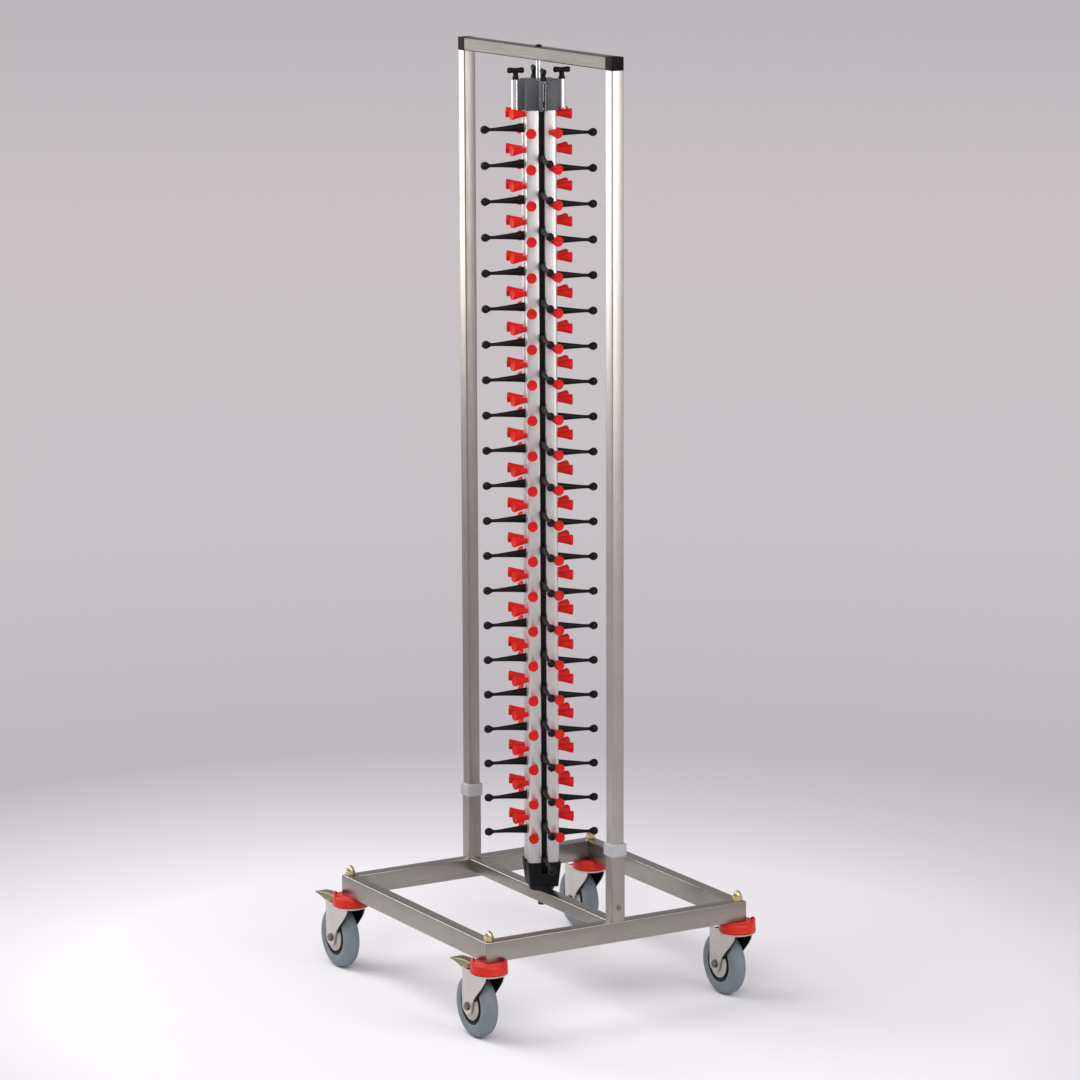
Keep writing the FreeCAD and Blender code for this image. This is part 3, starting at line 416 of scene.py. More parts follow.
collar_finish = moulded_plastic(
    "collar_clear_plastic", (0.52, 0.52, 0.53), 0.3, grain=300.0, Transmission_Weight=0.25, IOR=1.45
)
cone_finish = worn_rubber("cone_red_rubber", (0.66, 0.009, 0.006), 0.55, Specular_IOR_Level=0.2)
ring_finish = moulded_plastic("ring_red_plastic", (0.64, 0.022, 0.01), 0.34, Specular_IOR_Level=0.3)
tyre_finish = worn_rubber("tyre_grey_rubber", (0.17, 0.205, 0.225), 0.62)
rim_finish = moulded_plastic("rim_black_nylon", (0.005, 0.004, 0.004), 0.52, Specular_IOR_Level=0.18)
guard_finish = moulded_plastic("thread_guard_plastic", (0.45, 0.42, 0.38), 0.4)

# ---------------------------------------------------------------- square-tube frame

TUBE_ROUND = 2.2 * MM
SEAM = 0.4 * MM


def mitred_beam(label, turn):
    """One side of the base, mitred at both ends, drawn at -Y and turned to its side."""
    middle = -(BASE_HALF - BEAM_WIDE / 2)
    half_high = (BEAM_TOP - BEAM_LOW) / 2
    rings = []
    for end, back, inset in ((-1, 0.0, SEAM), (-1, SEAM, 0.0), (1, SEAM, 0.0), (1, 0.0, SEAM)):
        outline = rounded_outline(BEAM_WIDE / 2 - inset, half_high - inset, TUBE_ROUND)
        rings.append([
            Vector((end * (-(middle + y) - back), middle + y, BEAM_LOW + half_high + z)) for y, z in outline
        ])
    made = new_object(f"beam_{label}", moved(skin(rings), turn_z(turn)))
    # The base beams take the darker, shaded copy of the steel: painted shade.
    steel = steel_x if label in ("front", "rear") else steel_y
    dress(made, steel, BASE, [f"base_beam_{label}"])


def tube_loops(half, z_low, z_high, at, radius, edge):
    """The loops of a square tube's outside along Z, with a chamfer at both ends."""
    return [
        at_height(rounded_outline(half - inset, half - inset, radius, at=at), z)
        for z, inset in ((z_low, edge), (z_low + edge, 0.0), (z_high - edge, 0.0), (z_high, edge))
    ]


def square_tube(half, z_low, z_high, at=(0.0, 0.0)):
    """A closed tube along Z with round corners and a fine chamfer at both ends."""
    return skin(tube_loops(half, z_low, z_high, at, TUBE_ROUND, SEAM))


def square_sleeve(half, bore, z_low, z_high, at, radius, edge):
    """An open square sleeve: up its outside, over its mouth and down its bore."""
    loops = tube_loops(half, z_low, z_high, at, radius, edge)
    loops += [at_height(rounded_outline(bore, bore, 0.6 * radius, at=at), z) for z in (z_high, z_low)]
    return skin(loops, endless=True)


def along_x(bm):
    """Lay a piece that was built along Z on the X axis."""
    return moved(bm, Matrix.Rotation(pi / 2, 4, "Y"))


def tube_frame():
    """The base, its cross member, the uprights and the crossbar."""
    for index, label in enumerate(("front", "right", "rear", "left")):
        mitred_beam(label, index * pi / 2)
    node_low, node_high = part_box("cross_member")
    half = (node_high.z - node_low.z) / 2
    member = along_x(square_tube(half, node_low.x, node_high.x))
    made = new_object("cross_tube", moved(member, shift(z=node_low.z + half)))
    # The cross member takes the shaded copy of the steel too: painted shade.
    dress(made, steel_x, BASE, ["cross_member"])
    for side, label in ((-1, "left"), (1, "right")):
        node_low, node_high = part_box(f"upright_{label}")
        at = (side * UPRIGHT_X, 0.0)
        tube = square_tube(UPRIGHT_HALF, node_low.z, node_high.z, at)
        # The near upright takes the lit copy of the steel and the far one the shaded copy: painted light and
        # shade.
        steel = steel_painted_lit if side > 0 else steel_painted_shade
        dress(new_object(f"upright_tube_{label}", tube), steel, BASE, [f"upright_{label}"])
    node_low, node_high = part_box("crossbar")
    half = (node_high.z - node_low.z) / 2
    bar = moved(along_x(square_tube(half, node_low.x, node_high.x)), shift(z=node_low.z + half))
    # The crossbar takes the dark copy of the steel: painted shade.
    dress(new_object("top_crossbar", bar), crossbar_steel_painted_shade, BASE, ["crossbar"])


def sockets_and_collars():
    """The sleeves the uprights stand in, their clear collars and clamp screws."""
    bore = UPRIGHT_HALF + 0.15 * MM
    sockets, collars = [], []
    for side in (-1, 1):
        at = (side * UPRIGHT_X, 0.0)
        sockets.append(square_sleeve(SOCKET_HALF, bore, BEAM_TOP, SOCKET_TOP, at, 2.6 * MM, 0.3 * MM))
        collars.append(square_sleeve(COLLAR_HALF, bore, SOCKET_TOP, COLLAR_TOP, at, 4 * MM, 1.6 * MM))
    # The sockets take the shaded copy of the steel: painted shade.
    dress(new_object("socket_sleeves", joined(*sockets)), steel_painted_shade, BASE, ["socket_tubes"])
    dress(new_object("collars", joined(*collars)), collar_finish, BASE, ["clamp_collars"])
    screws = softened("clamp_screws", "clamp_screw_heads", 0.5 * MM)
    dress(screws, axle_finish, BASE, ["clamp_screws"])
    cubes = softened("corner_connectors", "corner_cubes", 1.6 * MM, 3)
    dress(cubes, connector_finish, BASE, ["corner_connectors"])


def pivots():
    """The bolt through the crossbar with its black cap, and the pin that the column stands on."""
    radius, cap_radius, steps = 4.9 * MM, 6.6 * MM, 6
    bolt_low = low("pivot_bolt").z
    shank = lathe([(radius * 0.8, bolt_low), (radius, bolt_low + 1 * MM), (radius, FRAME_TOP)], 32)
    dress(new_object("pivot_shank", shank), sleeve_finish, BASE, ["pivot_bolt"])
    cap_high = high("pivot_bolt").z - FRAME_TOP
    profile = [(cap_radius, FRAME_TOP)]
    for angle in (pi / 2 * i / steps for i in range(steps + 1)):
        profile.append((cap_radius * cos(angle), FRAME_TOP + cap_high * (0.2 + 0.8 * sin(angle))))
    dress(new_object("pivot_cap", lathe(profile, 32)), connector_finish, BASE, ["pivot_bolt"])
    # The pin is near black as painted shade in the gap under the foot block.
    finish_node("foot_pivot", pivot_shade_finish)


# ---------------------------------------------------------------- column


def profile_section():
    """One corner profile's outline: a large round at the column's outside, small ones elsewhere."""
    near, far = COLUMN_HALF - PROFILE_SIDE, COLUMN_HALF
    steps = 6
    corners = (
        (near, near, 1.0 * MM, pi), (far, near, 3.0 * MM, 1.5 * pi),
        (far, far, 7.0 * MM, 0.0), (near, far, 3.0 * MM, 0.5 * pi),
    )
    middle = (near + far) / 2
    points = []
    for x, y, radius, start in corners:
        centre_x = x + (radius if x < middle else -radius)
        centre_y = y + (radius if y < middle else -radius)
        for i in range(steps + 1):
            angle = start + pi / 2 * i / steps
            points.append((centre_x + radius * cos(angle), centre_y + radius * sin(angle)))
    return points


def column():
    """The four profiles, the black core between them, the head and the foot."""
    section = profile_section()
    bodies = []
    for face in FACES:
        tube = skin([at_height(section, COLUMN_LOW), at_height(section, COLUMN_TOP)])
        bodies.append(moved(tube, turn_z(FACE_TURN[face])))
    profiles = new_object("corner_profiles", joined(*bodies))
    dress(profiles, column_finish, COLUMN, ["column_profiles"])
    finish_node("column_core", black_finish)
    head = softened("head_block", "head_moulding", 0.9 * MM, 3)
    dress(head, head_finish, COLUMN, ["head_block"])
    foot = softened("foot_block", "foot_moulding", 1.4 * MM, 3)
    dress(foot, black_finish, COLUMN, ["foot_block"])


def sleeve_mesh():
    """One sleeve round a wing screw: open to the column, slit outside, with a ring at its top. Faces +X."""
    outer, inner, spindle = 8.0 * MM, 6.9 * MM, 4.05 * MM
    slot_half, window_half = radians(49), asin(0.25)
    steps = 16
    ring_low = HEAD_TOP - 4.5 * MM
    walls = []
    for side in (-1, 1):
        angles = [side * (window_half + (pi - slot_half - window_half) * i / steps) for i in range(steps + 1)]
        loop = [(outer * cos(a), outer * sin(a)) for a in angles]
        loop += [(inner * cos(a), inner * sin(a)) for a in reversed(angles)]
        walls.append(skin([at_height(loop, COLUMN_TOP), at_height(loop, ring_low)]))
    profile = [
        (spindle, ring_low), (outer, ring_low), (outer, HEAD_TOP - 0.6 * MM), (outer - 0.6 * MM, HEAD_TOP),
        (spindle, HEAD_TOP),
    ]
    return joined(*walls, lathe(profile, 40, hollow=True))


def at_screw(bm, face):
    """A piece drawn about its own axis, set on the axis of one face's wing screw."""
    return moved(bm, turn_z(FACE_TURN[face]) @ shift(x=SCREW_REACH))


def sleeves():
    """The wing screws' sleeves. The front one, which faces the camera, is a darker and rougher copy of the
    aluminium: its dark colour is painted shade.
    """
    others = new_object("screw_sleeves", joined(*[at_screw(sleeve_mesh(), face) for face in FACES[1:]]))
    dress(others, sleeve_finish, COLUMN, ["guide_sleeves"])
    front = new_object("screw_sleeve_front", at_screw(sleeve_mesh(), FACES[0]))
    dress(front, shaded_sleeve_finish, COLUMN, ["guide_sleeves"])


def wing_knob(face):
    """A wing knob: a waisted hub, and over it one bar that points at the column's axis."""
    hub = lathe([
        (6.5 * MM, HEAD_TOP), (6.7 * MM, HEAD_TOP + 0.8 * MM), (6.4 * MM, HEAD_TOP + 2.5 * MM),
        (5.2 * MM, HEAD_TOP + 6 * MM), (4.7 * MM, HEAD_TOP + 9 * MM), (5.4 * MM, HEAD_TOP + 12.5 * MM),
        (4.6 * MM, HEAD_TOP + 15 * MM),
    ], 28)
    middle = HEAD_TOP + 17.3 * MM
    bar = []
    for x, half_thick, half_high in (
        (-16.5, 0.6, 0.8), (-16.2, 2.6, 3.1), (-15.0, 3.9, 4.9), (-12.5, 4.4, 5.7), (-8.0, 4.0, 5.2),
        (-3.0, 4.0, 4.5), (3.0, 4.0, 4.5), (8.0, 4.0, 5.2), (12.5, 4.4, 5.7), (15.0, 3.9, 4.9),
        (16.2, 2.6, 3.1), (16.5, 0.6, 0.8),
    ):
        bar.append([
            Vector((x * MM, half_thick * MM * cos(a), middle + half_high * MM * sin(a))) for a in turns(16)
        ])
    made = new_object(f"wing_knob_{face}_moulding", at_screw(joined(hub, skin(bar)), face))
    dress(made, black_finish, f"wing_screw_{face}", [f"wing_knob_{face}"], crease=50)
    finish_node(f"spindle_{face}", bolt_finish)


# ---------------------------------------------------------------- plate supports


def level_array():
    """A tree that repeats the mesh it is given down the column, one copy to a level."""
    tree = bpy.data.node_groups.new("one_to_a_level", "GeometryNodeTree")
    face = tree.interface
    face.new_socket("Piece", in_out="INPUT", socket_type="NodeSocketGeometry")
    for name, kind in (("Levels", "Int"), ("Pitch", "Float"), ("Finish", "Material")):
        face.new_socket(name, in_out="INPUT", socket_type=f"NodeSocket{kind}")
    face.new_socket("Pieces", in_out="OUTPUT", socket_type="NodeSocketGeometry")
    given = tree.nodes.new("NodeGroupInput")
    down = tree.nodes.new("ShaderNodeMath")
    down.operation = "MULTIPLY"
    down.inputs[1].default_value = -1.0
    step = tree.nodes.new("ShaderNodeCombineXYZ")
    line = tree.nodes.new("GeometryNodeMeshLine")
    line.mode = "OFFSET"
    repeat = tree.nodes.new("GeometryNodeInstanceOnPoints")
    realise = tree.nodes.new("GeometryNodeRealizeInstances")
    paint = tree.nodes.new("GeometryNodeSetMaterial")
    result = tree.nodes.new("NodeGroupOutput")
    link = tree.links.new
    link(given.outputs["Pitch"], down.inputs[0])
    link(down.outputs[0], step.inputs["Z"])
    link(step.outputs[0], line.inputs["Offset"])
    link(given.outputs["Levels"], line.inputs["Count"])
    link(line.outputs["Mesh"], repeat.inputs["Points"])
    link(given.outputs["Piece"], repeat.inputs["Instance"])
    link(repeat.outputs[0], realise.inputs[0])
    link(realise.outputs[0], paint.inputs["Geometry"])
    link(given.outputs["Finish"], paint.inputs["Material"])
    link(paint.outputs[0], result.inputs["Pieces"])
    return tree


LEVEL_ARRAY = level_array()


def on_every_level(made, material):
    """Repeat a piece of the highest level on all of them."""
    modifier = made.modifiers.new("levels", "NODES")
    modifier.node_group = LEVEL_ARRAY
    wanted = {"Levels": LEVELS, "Pitch": LEVEL_PITCH, "Finish": material}
    for item in LEVEL_ARRAY.interface.items_tree:
        if item.name in wanted:
            modifier[item.identifier] = wanted[item.name]
    return settle(made)


def cone_mesh(side, z):
    """One rubber cone, wide end out, splayed to one side of the face's middle."""
    root = Vector((COLUMN_HALF - 1 * MM, side * 17.2 * MM, z))
    tip = Vector((58.5 * MM, side * 26.5 * MM, z))
    axis = tip - root
    across = Vector((-axis.y, axis.x, 0.0)).normalized()
    rings = []
    for share, radius in (
        (0.0, 5.0), (0.1, 5.1), (0.55, 7.6), (0.88, 9.9), (0.96, 10.2), (1.0, 9.7), (0.985, 7.2),
        (0.95, 0.001),
    ):
        middle = root + axis * share
        rings.append([
            middle + across * (radius * MM * cos(a)) + Vector((0, 0, radius * MM * sin(a))) for a in turns(14)
        ])
    return skin(rings)


def cones(face):
    """A face's cones, two to a level."""
    node = f"rubber_cones_{face}"
    top = high(node).z - CONE_RADIUS
    pair = moved(joined(cone_mesh(-1, top), cone_mesh(1, top)), turn_z(FACE_TURN[face]))
    made = on_every_level(new_object(f"cones_{face}", pair), cone_finish)
    dress(made, cone_finish, COLUMN, [node], crease=60)


def arm_mesh(z):
    """One arm: deep at the rail, drawn in to a neck, with a ball end. Drawn facing +X."""
    rings = []
    for x, half_wide, half_high, lift in (
        (25.0, 4.5, 9.4, 2.5), (32.0, 4.4, 8.6, 2.3), (50.0, 4.1, 6.6, 1.7), (70.0, 3.6, 4.7, 0.9),
        (86.0, 3.1, 3.4, 0.2), (95.0, 3.2, 3.2, 0.0), (98.5, 5.4, 5.4, 0.0), (102.0, 7.6, 7.6, 0.0),
        (105.0, 8.1, 8.1, 0.0), (108.5, 7.4, 7.4, 0.0), (111.5, 5.2, 5.2, 0.0), (112.7, 2.6, 2.6, 0.0),
    ):
        rings.append([
            Vector((x * MM, half_wide * MM * cos(a), z + (lift + half_high * sin(a)) * MM)) for a in turns(12)
        ])
    return skin(rings)


def arms(face):
    """A face's arms and the rail they slide on."""
    node = f"plate_arms_{face}"
    top = high(node).z - ARM_ROOT_RISE
    arm = moved(arm_mesh(top), turn_z(FACE_TURN[face]))
    made = on_every_level(new_object(f"arms_{face}_mouldings", arm), black_finish)
    dress(made, black_finish, f"arms_{face}", [node], crease=60)
    rail = softened(f"arm_rail_{face}", f"rail_{face}", 0.6 * MM)
    dress(rail, black_finish, f"arms_{face}", [f"arm_rail_{face}"])


# ---------------------------------------------------------------- casters


def ring_mesh(corner):
    """The red ring: a turned band with two raised lobes that clear the beams."""
    r, z0, z1, pin = RING_RADIUS, RING_LOW, BEAM_LOW, 8.1 * MM
    band = lathe([
        (pin, z0), (r - 1.6 * MM, z0), (r - 0.4 * MM, z0 + 0.7 * MM), (r, z0 + 2.4 * MM),
        (r - 0.2 * MM, z0 + 4.2 * MM), (r - 0.9 * MM, z0 + 5.4 * MM), (r - 0.7 * MM, z1 - 9 * MM),
        (r - 1.4 * MM, z1 - 4 * MM), (r - 3.4 * MM, z1 - 1 * MM), (r - 6 * MM, z1), (pin, z1),
    ], 64, hollow=True)
    parts = [band]
    side_x, side_y = CORNERS[corner]
    beam_ways = (180 if side_x > 0 else 0, 270 if side_y > 0 else 90)
    beam_half = degrees(asin((BEAM_WIDE / 2 + 0.6 * MM) / (30 * MM)))
    for begin, end in ((30, 90), (210, 270)):
        for way in (way + turn for way in beam_ways for turn in (0, 360)):
            if begin < way + beam_half and end > way - beam_half:
                if way >= (begin + end) / 2:
                    end = way - beam_half
                else:
                    begin = way + beam_half
        parts.append(lobe_mesh(radians(begin + 0.5), radians(end - 0.5)))
    return moved(joined(*parts), shift(SWIVEL_AT[corner].x, SWIVEL_AT[corner].y))


def lobe_mesh(begin, end):
    """A raised stretch of the ring's rim, rounded over its top and at both ends."""
    steps = 16
    rings = []
    outer, inner, z0 = RING_RADIUS - 1.3 * MM, LOBE_INNER, BEAM_LOW - 4 * MM
    for i in range(steps + 1):
        share = i / steps
        swell = (1 - abs(2 * share - 1) ** 3) ** 0.5
        top = BEAM_LOW + LOBE_RISE * swell
        angle = begin + (end - begin) * share
        section = (
            (inner, z0), (outer, z0), (outer, top - 2.6 * MM * swell),
            (outer - 0.9 * MM, top - 0.8 * MM * swell), (outer - 2.6 * MM, top), (inner + 1.2 * MM, top),
            (inner, top - 1.2 * MM * swell),
        )
        rings.append([Vector((x * cos(angle), x * sin(angle), z)) for x, z in section])
    return skin(rings)


def caster_tops():
    """The rings, king pins and cap nuts of all four corners."""
    dress(
        new_object("brake_rings", joined(*[ring_mesh(corner) for corner in CORNERS])),
        ring_finish, BASE, ["caster_rings"],
    )
    finish_node("king_pins", bolt_finish)
    dome = ((8.3, 8.6), (8.2, 10.5), (7.4, 13.5), (5.8, 16.5), (3.6, 19), (1.6, 19.9), (0.0, 20))
    nuts = []
    for corner in CORNERS:
        cap = lathe([(radius * MM, BEAM_TOP + up * MM) for radius, up in dome], 28)
        nut = joined(hexagon_mesh(9.8 * MM, BEAM_TOP, 9 * MM), cap)
        nuts.append(moved(nut, shift(SWIVEL_AT[corner].x, SWIVEL_AT[corner].y)))
    dress(new_object("cap_nuts_brass", joined(*nuts)), brass_finish, BASE, ["cap_nuts"])


def hexagon_mesh(radius, z, thick, chamfer=0.8 * MM):
    """A hexagonal head with chamfered ends, from its corner radius."""
    rings = []
    for height, inset in ((0.0, chamfer), (chamfer, 0.0), (thick - chamfer, 0.0), (thick, chamfer)):
        rings.append(at_height(round_outline(radius - inset, 6), z + height))
    return skin(rings)


def cheek_front(z):
    """How far forward of the swivel a cheek reaches at a height: an S from the crown to the axle."""
    top = CROWN_TOP - 3 * MM
    share = min(max((z - WHEEL_RADIUS) / (top - WHEEL_RADIUS), 0.0), 1.0)
    return -FOOT_FRONT + (FORK_FRONT + FOOT_FRONT) * share * share * (3 - 2 * share)


def cheek_mesh(side):
    """One cheek of a fork: pressed sheet with an upright rib down to the axle and a rounded foot."""
    top = CROWN_TOP - 1.5 * MM
    rows, columns = 26, 18
    narrowest = 0.18
    outer, inner = [], []
    for i in range(rows + 1):
        z = (WHEEL_RADIUS - FOOT_DEEP) + (top - WHEEL_RADIUS + FOOT_DEEP) * (i / rows) ** 1.2
        if z < WHEEL_RADIUS:
            reach = max(max(1 - ((WHEEL_RADIUS - z) / FOOT_DEEP) ** 2, 0.0) ** 0.5, narrowest)
            middle, half = -(FORK_REAR + FOOT_FRONT) / 2, (FORK_REAR - FOOT_FRONT) / 2
            ends = (middle - half * reach, middle + half * reach)
        else:
            ends = (-FORK_REAR, cheek_front(z))
        row_out, row_in = [], []
        for j in range(columns + 1):
            x = ends[0] + (ends[1] - ends[0]) * j / columns
            bulge = rib(x, z)
            row_out.append(Vector((x, side * (FORK_HALF + bulge), z)))
            row_in.append(Vector((x, side * (FORK_HALF - FORK_SHEET + bulge), z)))
        outer.append(row_out)
        inner.append(row_in)
    return sheet_metal(outer, inner)


def rib(x, z):
    """The rib's rise above the sheet."""
    off = abs(x + TRAIL) / (15 * MM)
    across = cos(min(off, 1.0) * pi / 2) ** 1.5
    rise = min(max((z - WHEEL_RADIUS - 12 * MM) / (14 * MM), 0.0), 1.0)
    return 3.6 * MM * across * rise


def fork_mesh():
    """The crown with its ball-race housing, and both cheeks, about the swivel axis."""
    section = (
        (8.05, 0.0), (34.8, 0.0), (35.8, 0.8), (35.8, 2.4), (35.0, 3.2), (30, 3.4), (28, 5.8), (16, 6.2),
        (8.05, 6.2),
    )
    crown = lathe([(radius * MM, CROWN_TOP - down * MM) for radius, down in section], 56, hollow=True)
    return joined(crown, cheek_mesh(-1), cheek_mesh(1))


def shade_liner_mesh():
    """Black sheets inside a fork that paint the shade in it: two thin side plates and a roof over the wheel.
    """
    parts = []
    rows, columns = 12, 8
    half_in, half_out = FORK_HALF - 3.8 * MM, FORK_HALF - 2.6 * MM
    low_end, high_end = WHEEL_RADIUS + 14 * MM, CROWN_TOP - 6.5 * MM
    back = FORK_REAR - 1 * MM
    for side in (-1, 1):
        outer, inner = [], []
        for i in range(rows + 1):
            z = low_end + (high_end - low_end) * i / rows
            front = cheek_front(z) + 6 * MM * (1 - i / rows)
            xs = [-back + (front + back) * j / columns for j in range(columns + 1)]
            outer.append([Vector((x, side * half_out, z)) for x in xs])
            inner.append([Vector((x, side * half_in, z)) for x in xs])
        parts.append(sheet_metal(outer, inner))
    roof_low = CROWN_TOP - 9.0 * MM
    middle, half = (FORK_FRONT - FORK_REAR) / 2, (FORK_FRONT + FORK_REAR) / 2 - 2 * MM
    outline = rounded_outline(half, half_out, 3 * MM, at=(middle, 0.0))
    parts.append(skin([at_height(outline, roof_low), at_height(outline, roof_low + 2.4 * MM)]))
    return joined(*parts)


def wheel_axis(bm, corner):
    """Lay a turned piece on a caster's axle."""
    return moved(bm, Matrix.Translation(AXLE_AT[corner]) @ Matrix.Rotation(-pi / 2, 4, "X"))


def tyre_mesh():
    """A tyre with a rounded crown, a fine line near each side of the tread and soft shoulders."""
    half = [
        (RIM_RADIUS - 1.6 * MM, TYRE_HALF - 3.0 * MM), (RIM_RADIUS + 0.6 * MM, TYRE_HALF - 2.2 * MM),
        (RIM_RADIUS + 3.5 * MM, TYRE_HALF - 0.7 * MM), (RIM_RADIUS + 8 * MM, TYRE_HALF),
        (RIM_RADIUS + 13 * MM, TYRE_HALF - 0.3 * MM),
    ]
    for drop, y in (
        (7.6, 14.2), (4.9, 12.6), (3.0, 10.6), (1.6, 8.4), (1.75, 7.9), (1.15, 7.4), (0.35, 4.2), (0.0, 0.0),
    ):
        half.append((WHEEL_RADIUS - drop * MM, y * MM))
    profile = [(r, -y) for r, y in half] + [(r, y) for r, y in reversed(half[:-1])]
    return lathe(profile, 84, hollow=True)


def rim_mesh():
    """The black wheel centre: a rolled edge, a dished web and a hub."""
    half = [
        (5.06, 13.5), (10.0, 13.5), (11.0, 11.0), (28.0, 10.8), (32.0, 12.6), (35.4, 14.3), (37.1, 13.9),
        (37.1, 12.8),
    ]
    profile = [(r * MM, -y * MM) for r, y in half] + [(r * MM, y * MM) for r, y in reversed(half)]
    return lathe(profile, 64, hollow=True)


def guard_mesh():
    """The two pale thread guards, shallow dishes over the wheel's sides."""
    section = ((5.3, 16.6), (12.0, 17.0), (24.0, 16.2), (28.2, 14.8), (28.8, 13.4), (27.8, 12.2), (5.3, 13.7))
    return joined(*[
        lathe([(r * MM, side * y * MM) for r, y in section], 56, hollow=True) for side in (-1, 1)
    ])


def axle_mesh():
    """The axle bolt: a shank, with a washer and a hexagon on each side of the fork."""
    half, face = FORK_HALF, FORK_HALF + AXLE_WASHER
    parts = [lathe([(4.95 * MM, -half), (4.95 * MM, half)], 24)]
    for side in (-1, 1):
        washer = lathe([
            (0.0, half), (8.4 * MM, half), (8.6 * MM, half + 0.4 * MM), (8.4 * MM, face), (0.0, face),
        ], 28)
        head = hexagon_mesh(7.4 * MM, face, AXLE_HEX, 0.7 * MM)
        parts.append(moved(joined(washer, head), Matrix.Rotation(pi if side < 0 else 0.0, 4, "X")))
    return joined(*parts)


def caster(corner):
    """A fork with its painted-shade liner and bolt, and the wheel on it."""
    at = SWIVEL_AT[corner]
    body = f"caster_{corner}"
    place = shift(at.x, at.y)
    fork = new_object(f"fork_{corner}_pressing", moved(fork_mesh(), place))
    dress(fork, fork_finish, body, [f"fork_{corner}"], crease=45)
    shade_liner = new_object(f"liner_{corner}", moved(shade_liner_mesh(), place))
    dress(shade_liner, rim_finish, body, ())
    bolt = new_object(f"axle_{corner}", wheel_axis(axle_mesh(), corner))
    dress(bolt, axle_finish, body, [f"axle_bolt_{corner}"])
    wheel = f"wheel_{corner}"
    tyre = new_object(f"tyre_{corner}_rubber", wheel_axis(tyre_mesh(), corner))
    dress(tyre, tyre_finish, wheel, [f"tyre_{corner}"], crease=50)
    rim = new_object(f"rim_{corner}", wheel_axis(rim_mesh(), corner))
    dress(rim, rim_finish, wheel, [f"wheel_centre_{corner}"])
    guard = new_object(f"thread_guards_{corner}", wheel_axis(guard_mesh(), corner))
    dress(guard, guard_finish, wheel, [f"wheel_centre_{corner}"])


def pedal_mesh():
    """The brake pedal about its pin: a tread that dips to its tip, with deep sides that narrow to nothing."""
    path = (
        (5.0, 2.4, 9.0), (0.0, 4.4, 14.0), (-10.0, 5.2, 16.5), (-22.0, 4.8, 18.0), (-34.0, 3.8, 15.0),
        (-46.0, 2.4, 10.0), (-56.0, 0.9, 6.0), (-64.0, -0.4, 3.5), (-70.0, -1.5, 2.2),
    )
    half, thick = 11.0, 1.8
    bend = {1.0: 1.0, 0.98: 0.25, 0.93: 0.07}
    outer, inner = [], []
    for k, (x, z, flange) in enumerate(path):
        flare = 1.0 + 0.3 * max(0, k - 4) / 4
        row_out, row_in = [], []
        for share in (-1.0, -0.98, -0.93, -0.8, -0.4, 0.0, 0.4, 0.8, 0.93, 0.98, 1.0):
            drop = bend.get(abs(share), 0.0)
            y = share * half * flare
            inside = z - thick - (flange - thick) * drop
            row_out.append(Vector((x * MM, y * MM, (z - flange * drop) * MM)))
            row_in.append(Vector((x * MM, y * (1 - thick / half) * MM, inside * MM)))
        outer.append(row_out)
        inner.append(row_in)
    pin_half = 14.3 * MM
    pin = lathe([
        (2.2 * MM, -pin_half), (2.5 * MM, -pin_half + 0.4 * MM), (2.5 * MM, pin_half - 0.4 * MM),
        (2.2 * MM, pin_half),
    ], 24)
    return joined(sheet_metal(outer, inner), moved(pin, Matrix.Rotation(-pi / 2, 4, "X")))


def pedals():
    for corner in BRAKED:
        place = Matrix.Translation(JOINT_AT[f"brake_{corner}"])
        pedal = new_object(f"pedal_{corner}", moved(pedal_mesh(), place))
        dress(pedal, pedal_finish, f"brake_{corner}", [f"brake_pedal_{corner}"], crease=50)


# ---------------------------------------------------------------- build

tube_frame()
sockets_and_collars()
pivots()
column()
sleeves()
for name in FACES:
    cones(name)
    arms(name)
    wing_knob(name)
caster_tops()
for name in CORNERS:
    caster(name)
pedals()

# ---------------------------------------------------------------- studio

FAR_OFF_TONE = (0.5, 0.48, 0.5)


def studio_floor():
    """A wide pale floor. Near the cart it is lit and shadowed, and far off it has its own tone."""
    bm = bmesh.new()
    bmesh.ops.create_circle(bm, cap_ends=True, radius=60.0, segments=64)
    floor = new_object("studio_floor", bm)
    finish = Finish("floor_white", (0.88, 0.855, 0.885), 0.9)
    nodes, links = finish.nodes, finish.links
    finish.shader.inputs["Specular IOR Level"].default_value = 0.1
    distance = nodes.new("ShaderNodeVectorMath")
    distance.operation = "LENGTH"
    links.new(finish.place, distance.inputs[0])
    reach = nodes.new("ShaderNodeMath")
    reach.operation = "LOGARITHM"
    reach.inputs[1].default_value = 10.0
    links.new(distance.outputs["Value"], reach.inputs[0])
    scale = finish.ranged(reach.outputs[0], 0.0, 1.0, -0.3, 1.5)
    ramp = nodes.new("ShaderNodeValToRGB")
    links.new(scale, ramp.inputs["Fac"])
    tones = (
        (0.36, (0.52, 0.488, 0.52)), (0.6, (0.575, 0.545, 0.565)), (0.8, (0.575, 0.53, 0.55)),
        (0.95, FAR_OFF_TONE),
    )
    elements = ramp.color_ramp.elements
    while len(elements) < len(tones):
        elements.new(0.5)
    for element, (position, colour) in zip(elements, tones):
        element.position = position
        element.color = (*colour, 1.0)
    glow = nodes.new("ShaderNodeEmission")
    links.new(ramp.outputs["Color"], glow.inputs["Color"])
    mix = nodes.new("ShaderNodeMixShader")
    links.new(finish.ranged(reach.outputs[0], 0.0, 1.0, -0.01, 0.31), mix.inputs["Fac"])
    links.new(finish.shader.outputs[0], mix.inputs[1])
    links.new(glow.outputs[0], mix.inputs[2])
    links.new(mix.outputs[0], nodes["Material Output"].inputs["Surface"])
    floor.data.materials.append(finish.material)


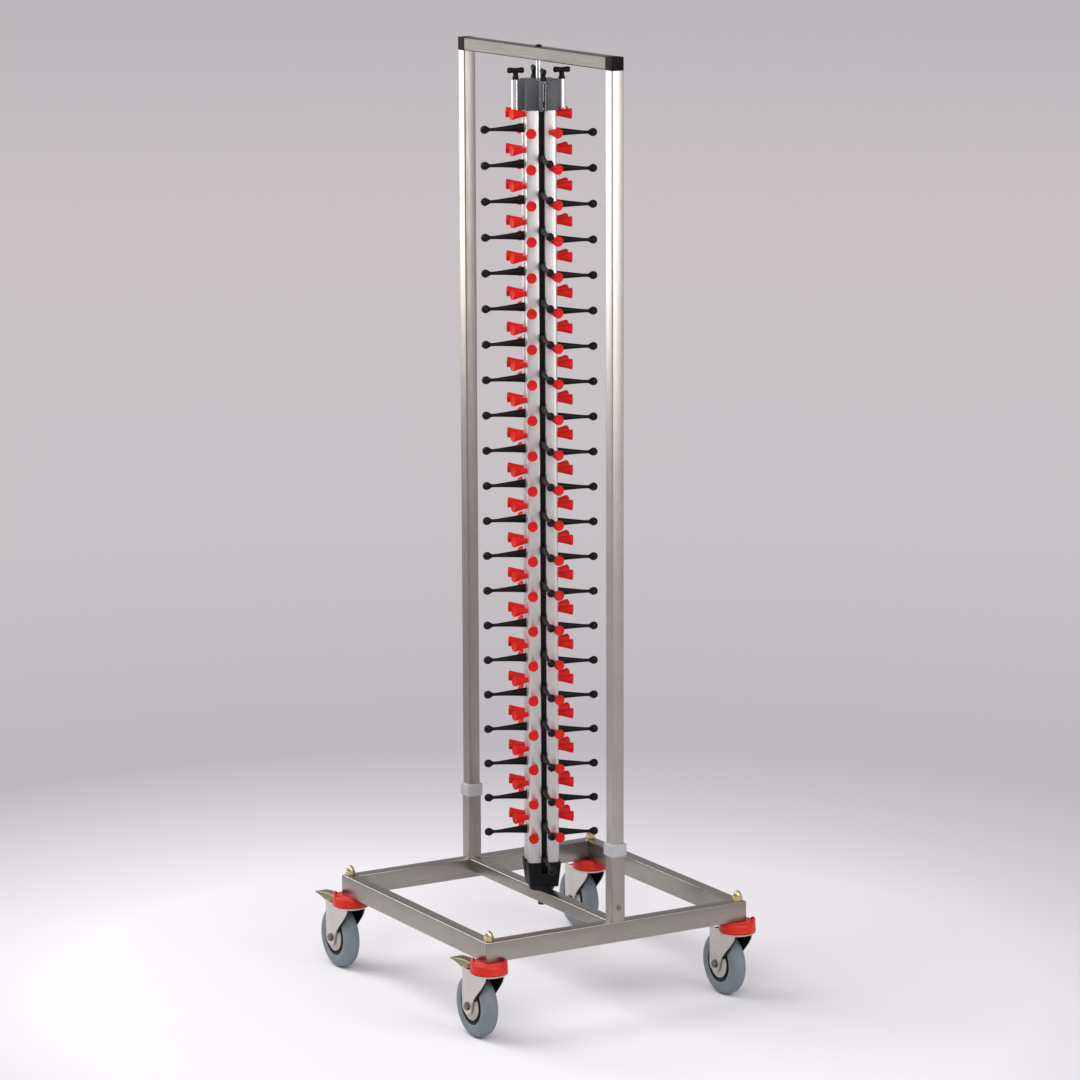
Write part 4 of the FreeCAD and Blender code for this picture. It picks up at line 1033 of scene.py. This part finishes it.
def studio_world():
    """A dim light from all sides. The camera sees the floor's own far tone above the horizon."""
    world = bpy.data.worlds.new("studio")
    world.use_nodes = True
    nodes, links = world.node_tree.nodes, world.node_tree.links
    light = nodes["Background"]
    light.inputs["Color"].default_value = (0.97, 0.97, 1.0, 1.0)
    light.inputs["Strength"].default_value = 0.4
    seen = nodes.new("ShaderNodeBackground")
    seen.inputs["Color"].default_value = (*FAR_OFF_TONE, 1.0)
    rays = nodes.new("ShaderNodeLightPath")
    choice = nodes.new("ShaderNodeMixShader")
    links.new(rays.outputs["Is Camera Ray"], choice.inputs["Fac"])
    links.new(light.outputs[0], choice.inputs[1])
    links.new(seen.outputs[0], choice.inputs[2])
    links.new(choice.outputs[0], nodes["World Output"].inputs["Surface"])
    bpy.context.scene.world = world


def soft_box(name, azimuth, distance, height, wide, tall, power, aim=(0.0, 0.0, 1.0)):
    """An area lamp at a compass direction from the cart, facing it."""
    lamp = bpy.data.lights.new(name, "AREA")
    lamp.shape = "RECTANGLE"
    lamp.size, lamp.size_y = wide, tall
    lamp.energy = power
    stand = bpy.data.objects.new(name, lamp)
    stand.location = (distance * cos(radians(azimuth)), distance * sin(radians(azimuth)), height)
    stand.rotation_euler = (Vector(aim) - stand.location).to_track_quat("-Z", "Y").to_euler()
    bpy.context.scene.collection.objects.link(stand)


def camera():
    """The camera of the photograph, from a fit to the frame's corners."""
    stand = (7.4035, -4.3218, 2.5369)
    yaw, pitch, roll = radians(30.269), radians(10.860), radians(-0.2214)
    forward = Vector((-cos(yaw) * cos(pitch), sin(yaw) * cos(pitch), -sin(pitch)))
    level = Vector((sin(yaw), cos(yaw), 0.0))
    upward = level.cross(forward)
    right = level * cos(roll) + upward * sin(roll)
    up = upward * cos(roll) - level * sin(roll)
    data = bpy.data.cameras.new("camera")
    data.sensor_fit = "HORIZONTAL"
    data.sensor_width = 36.0
    data.lens = 36.0 * 4515.3 / 1080
    data.clip_end = 200.0
    made = bpy.data.objects.new("camera", data)
    axes = Matrix((right, up, -forward)).transposed().to_4x4()
    made.matrix_world = Matrix.Translation(stand) @ axes
    bpy.context.scene.collection.objects.link(made)
    bpy.context.scene.camera = made


studio_floor()
studio_world()
# Direction in degrees, distance, height, width, depth and watts.
soft_box("box_left", -150, 3.0, 1.75, 1.6, 1.8, 32, aim=(0.0, 0.0, 1.3))
soft_box("box_right", 14, 3.0, 1.75, 1.9, 1.8, 34, aim=(0.0, 0.0, 1.3))
soft_box("box_top", -115, 2.4, 4.0, 2.6, 2.6, 84)
soft_box("box_front", -30, 4.4, 4.0, 3.0, 2.4, 84)
camera()
bpy.context.scene.view_settings.view_transform = "Standard"
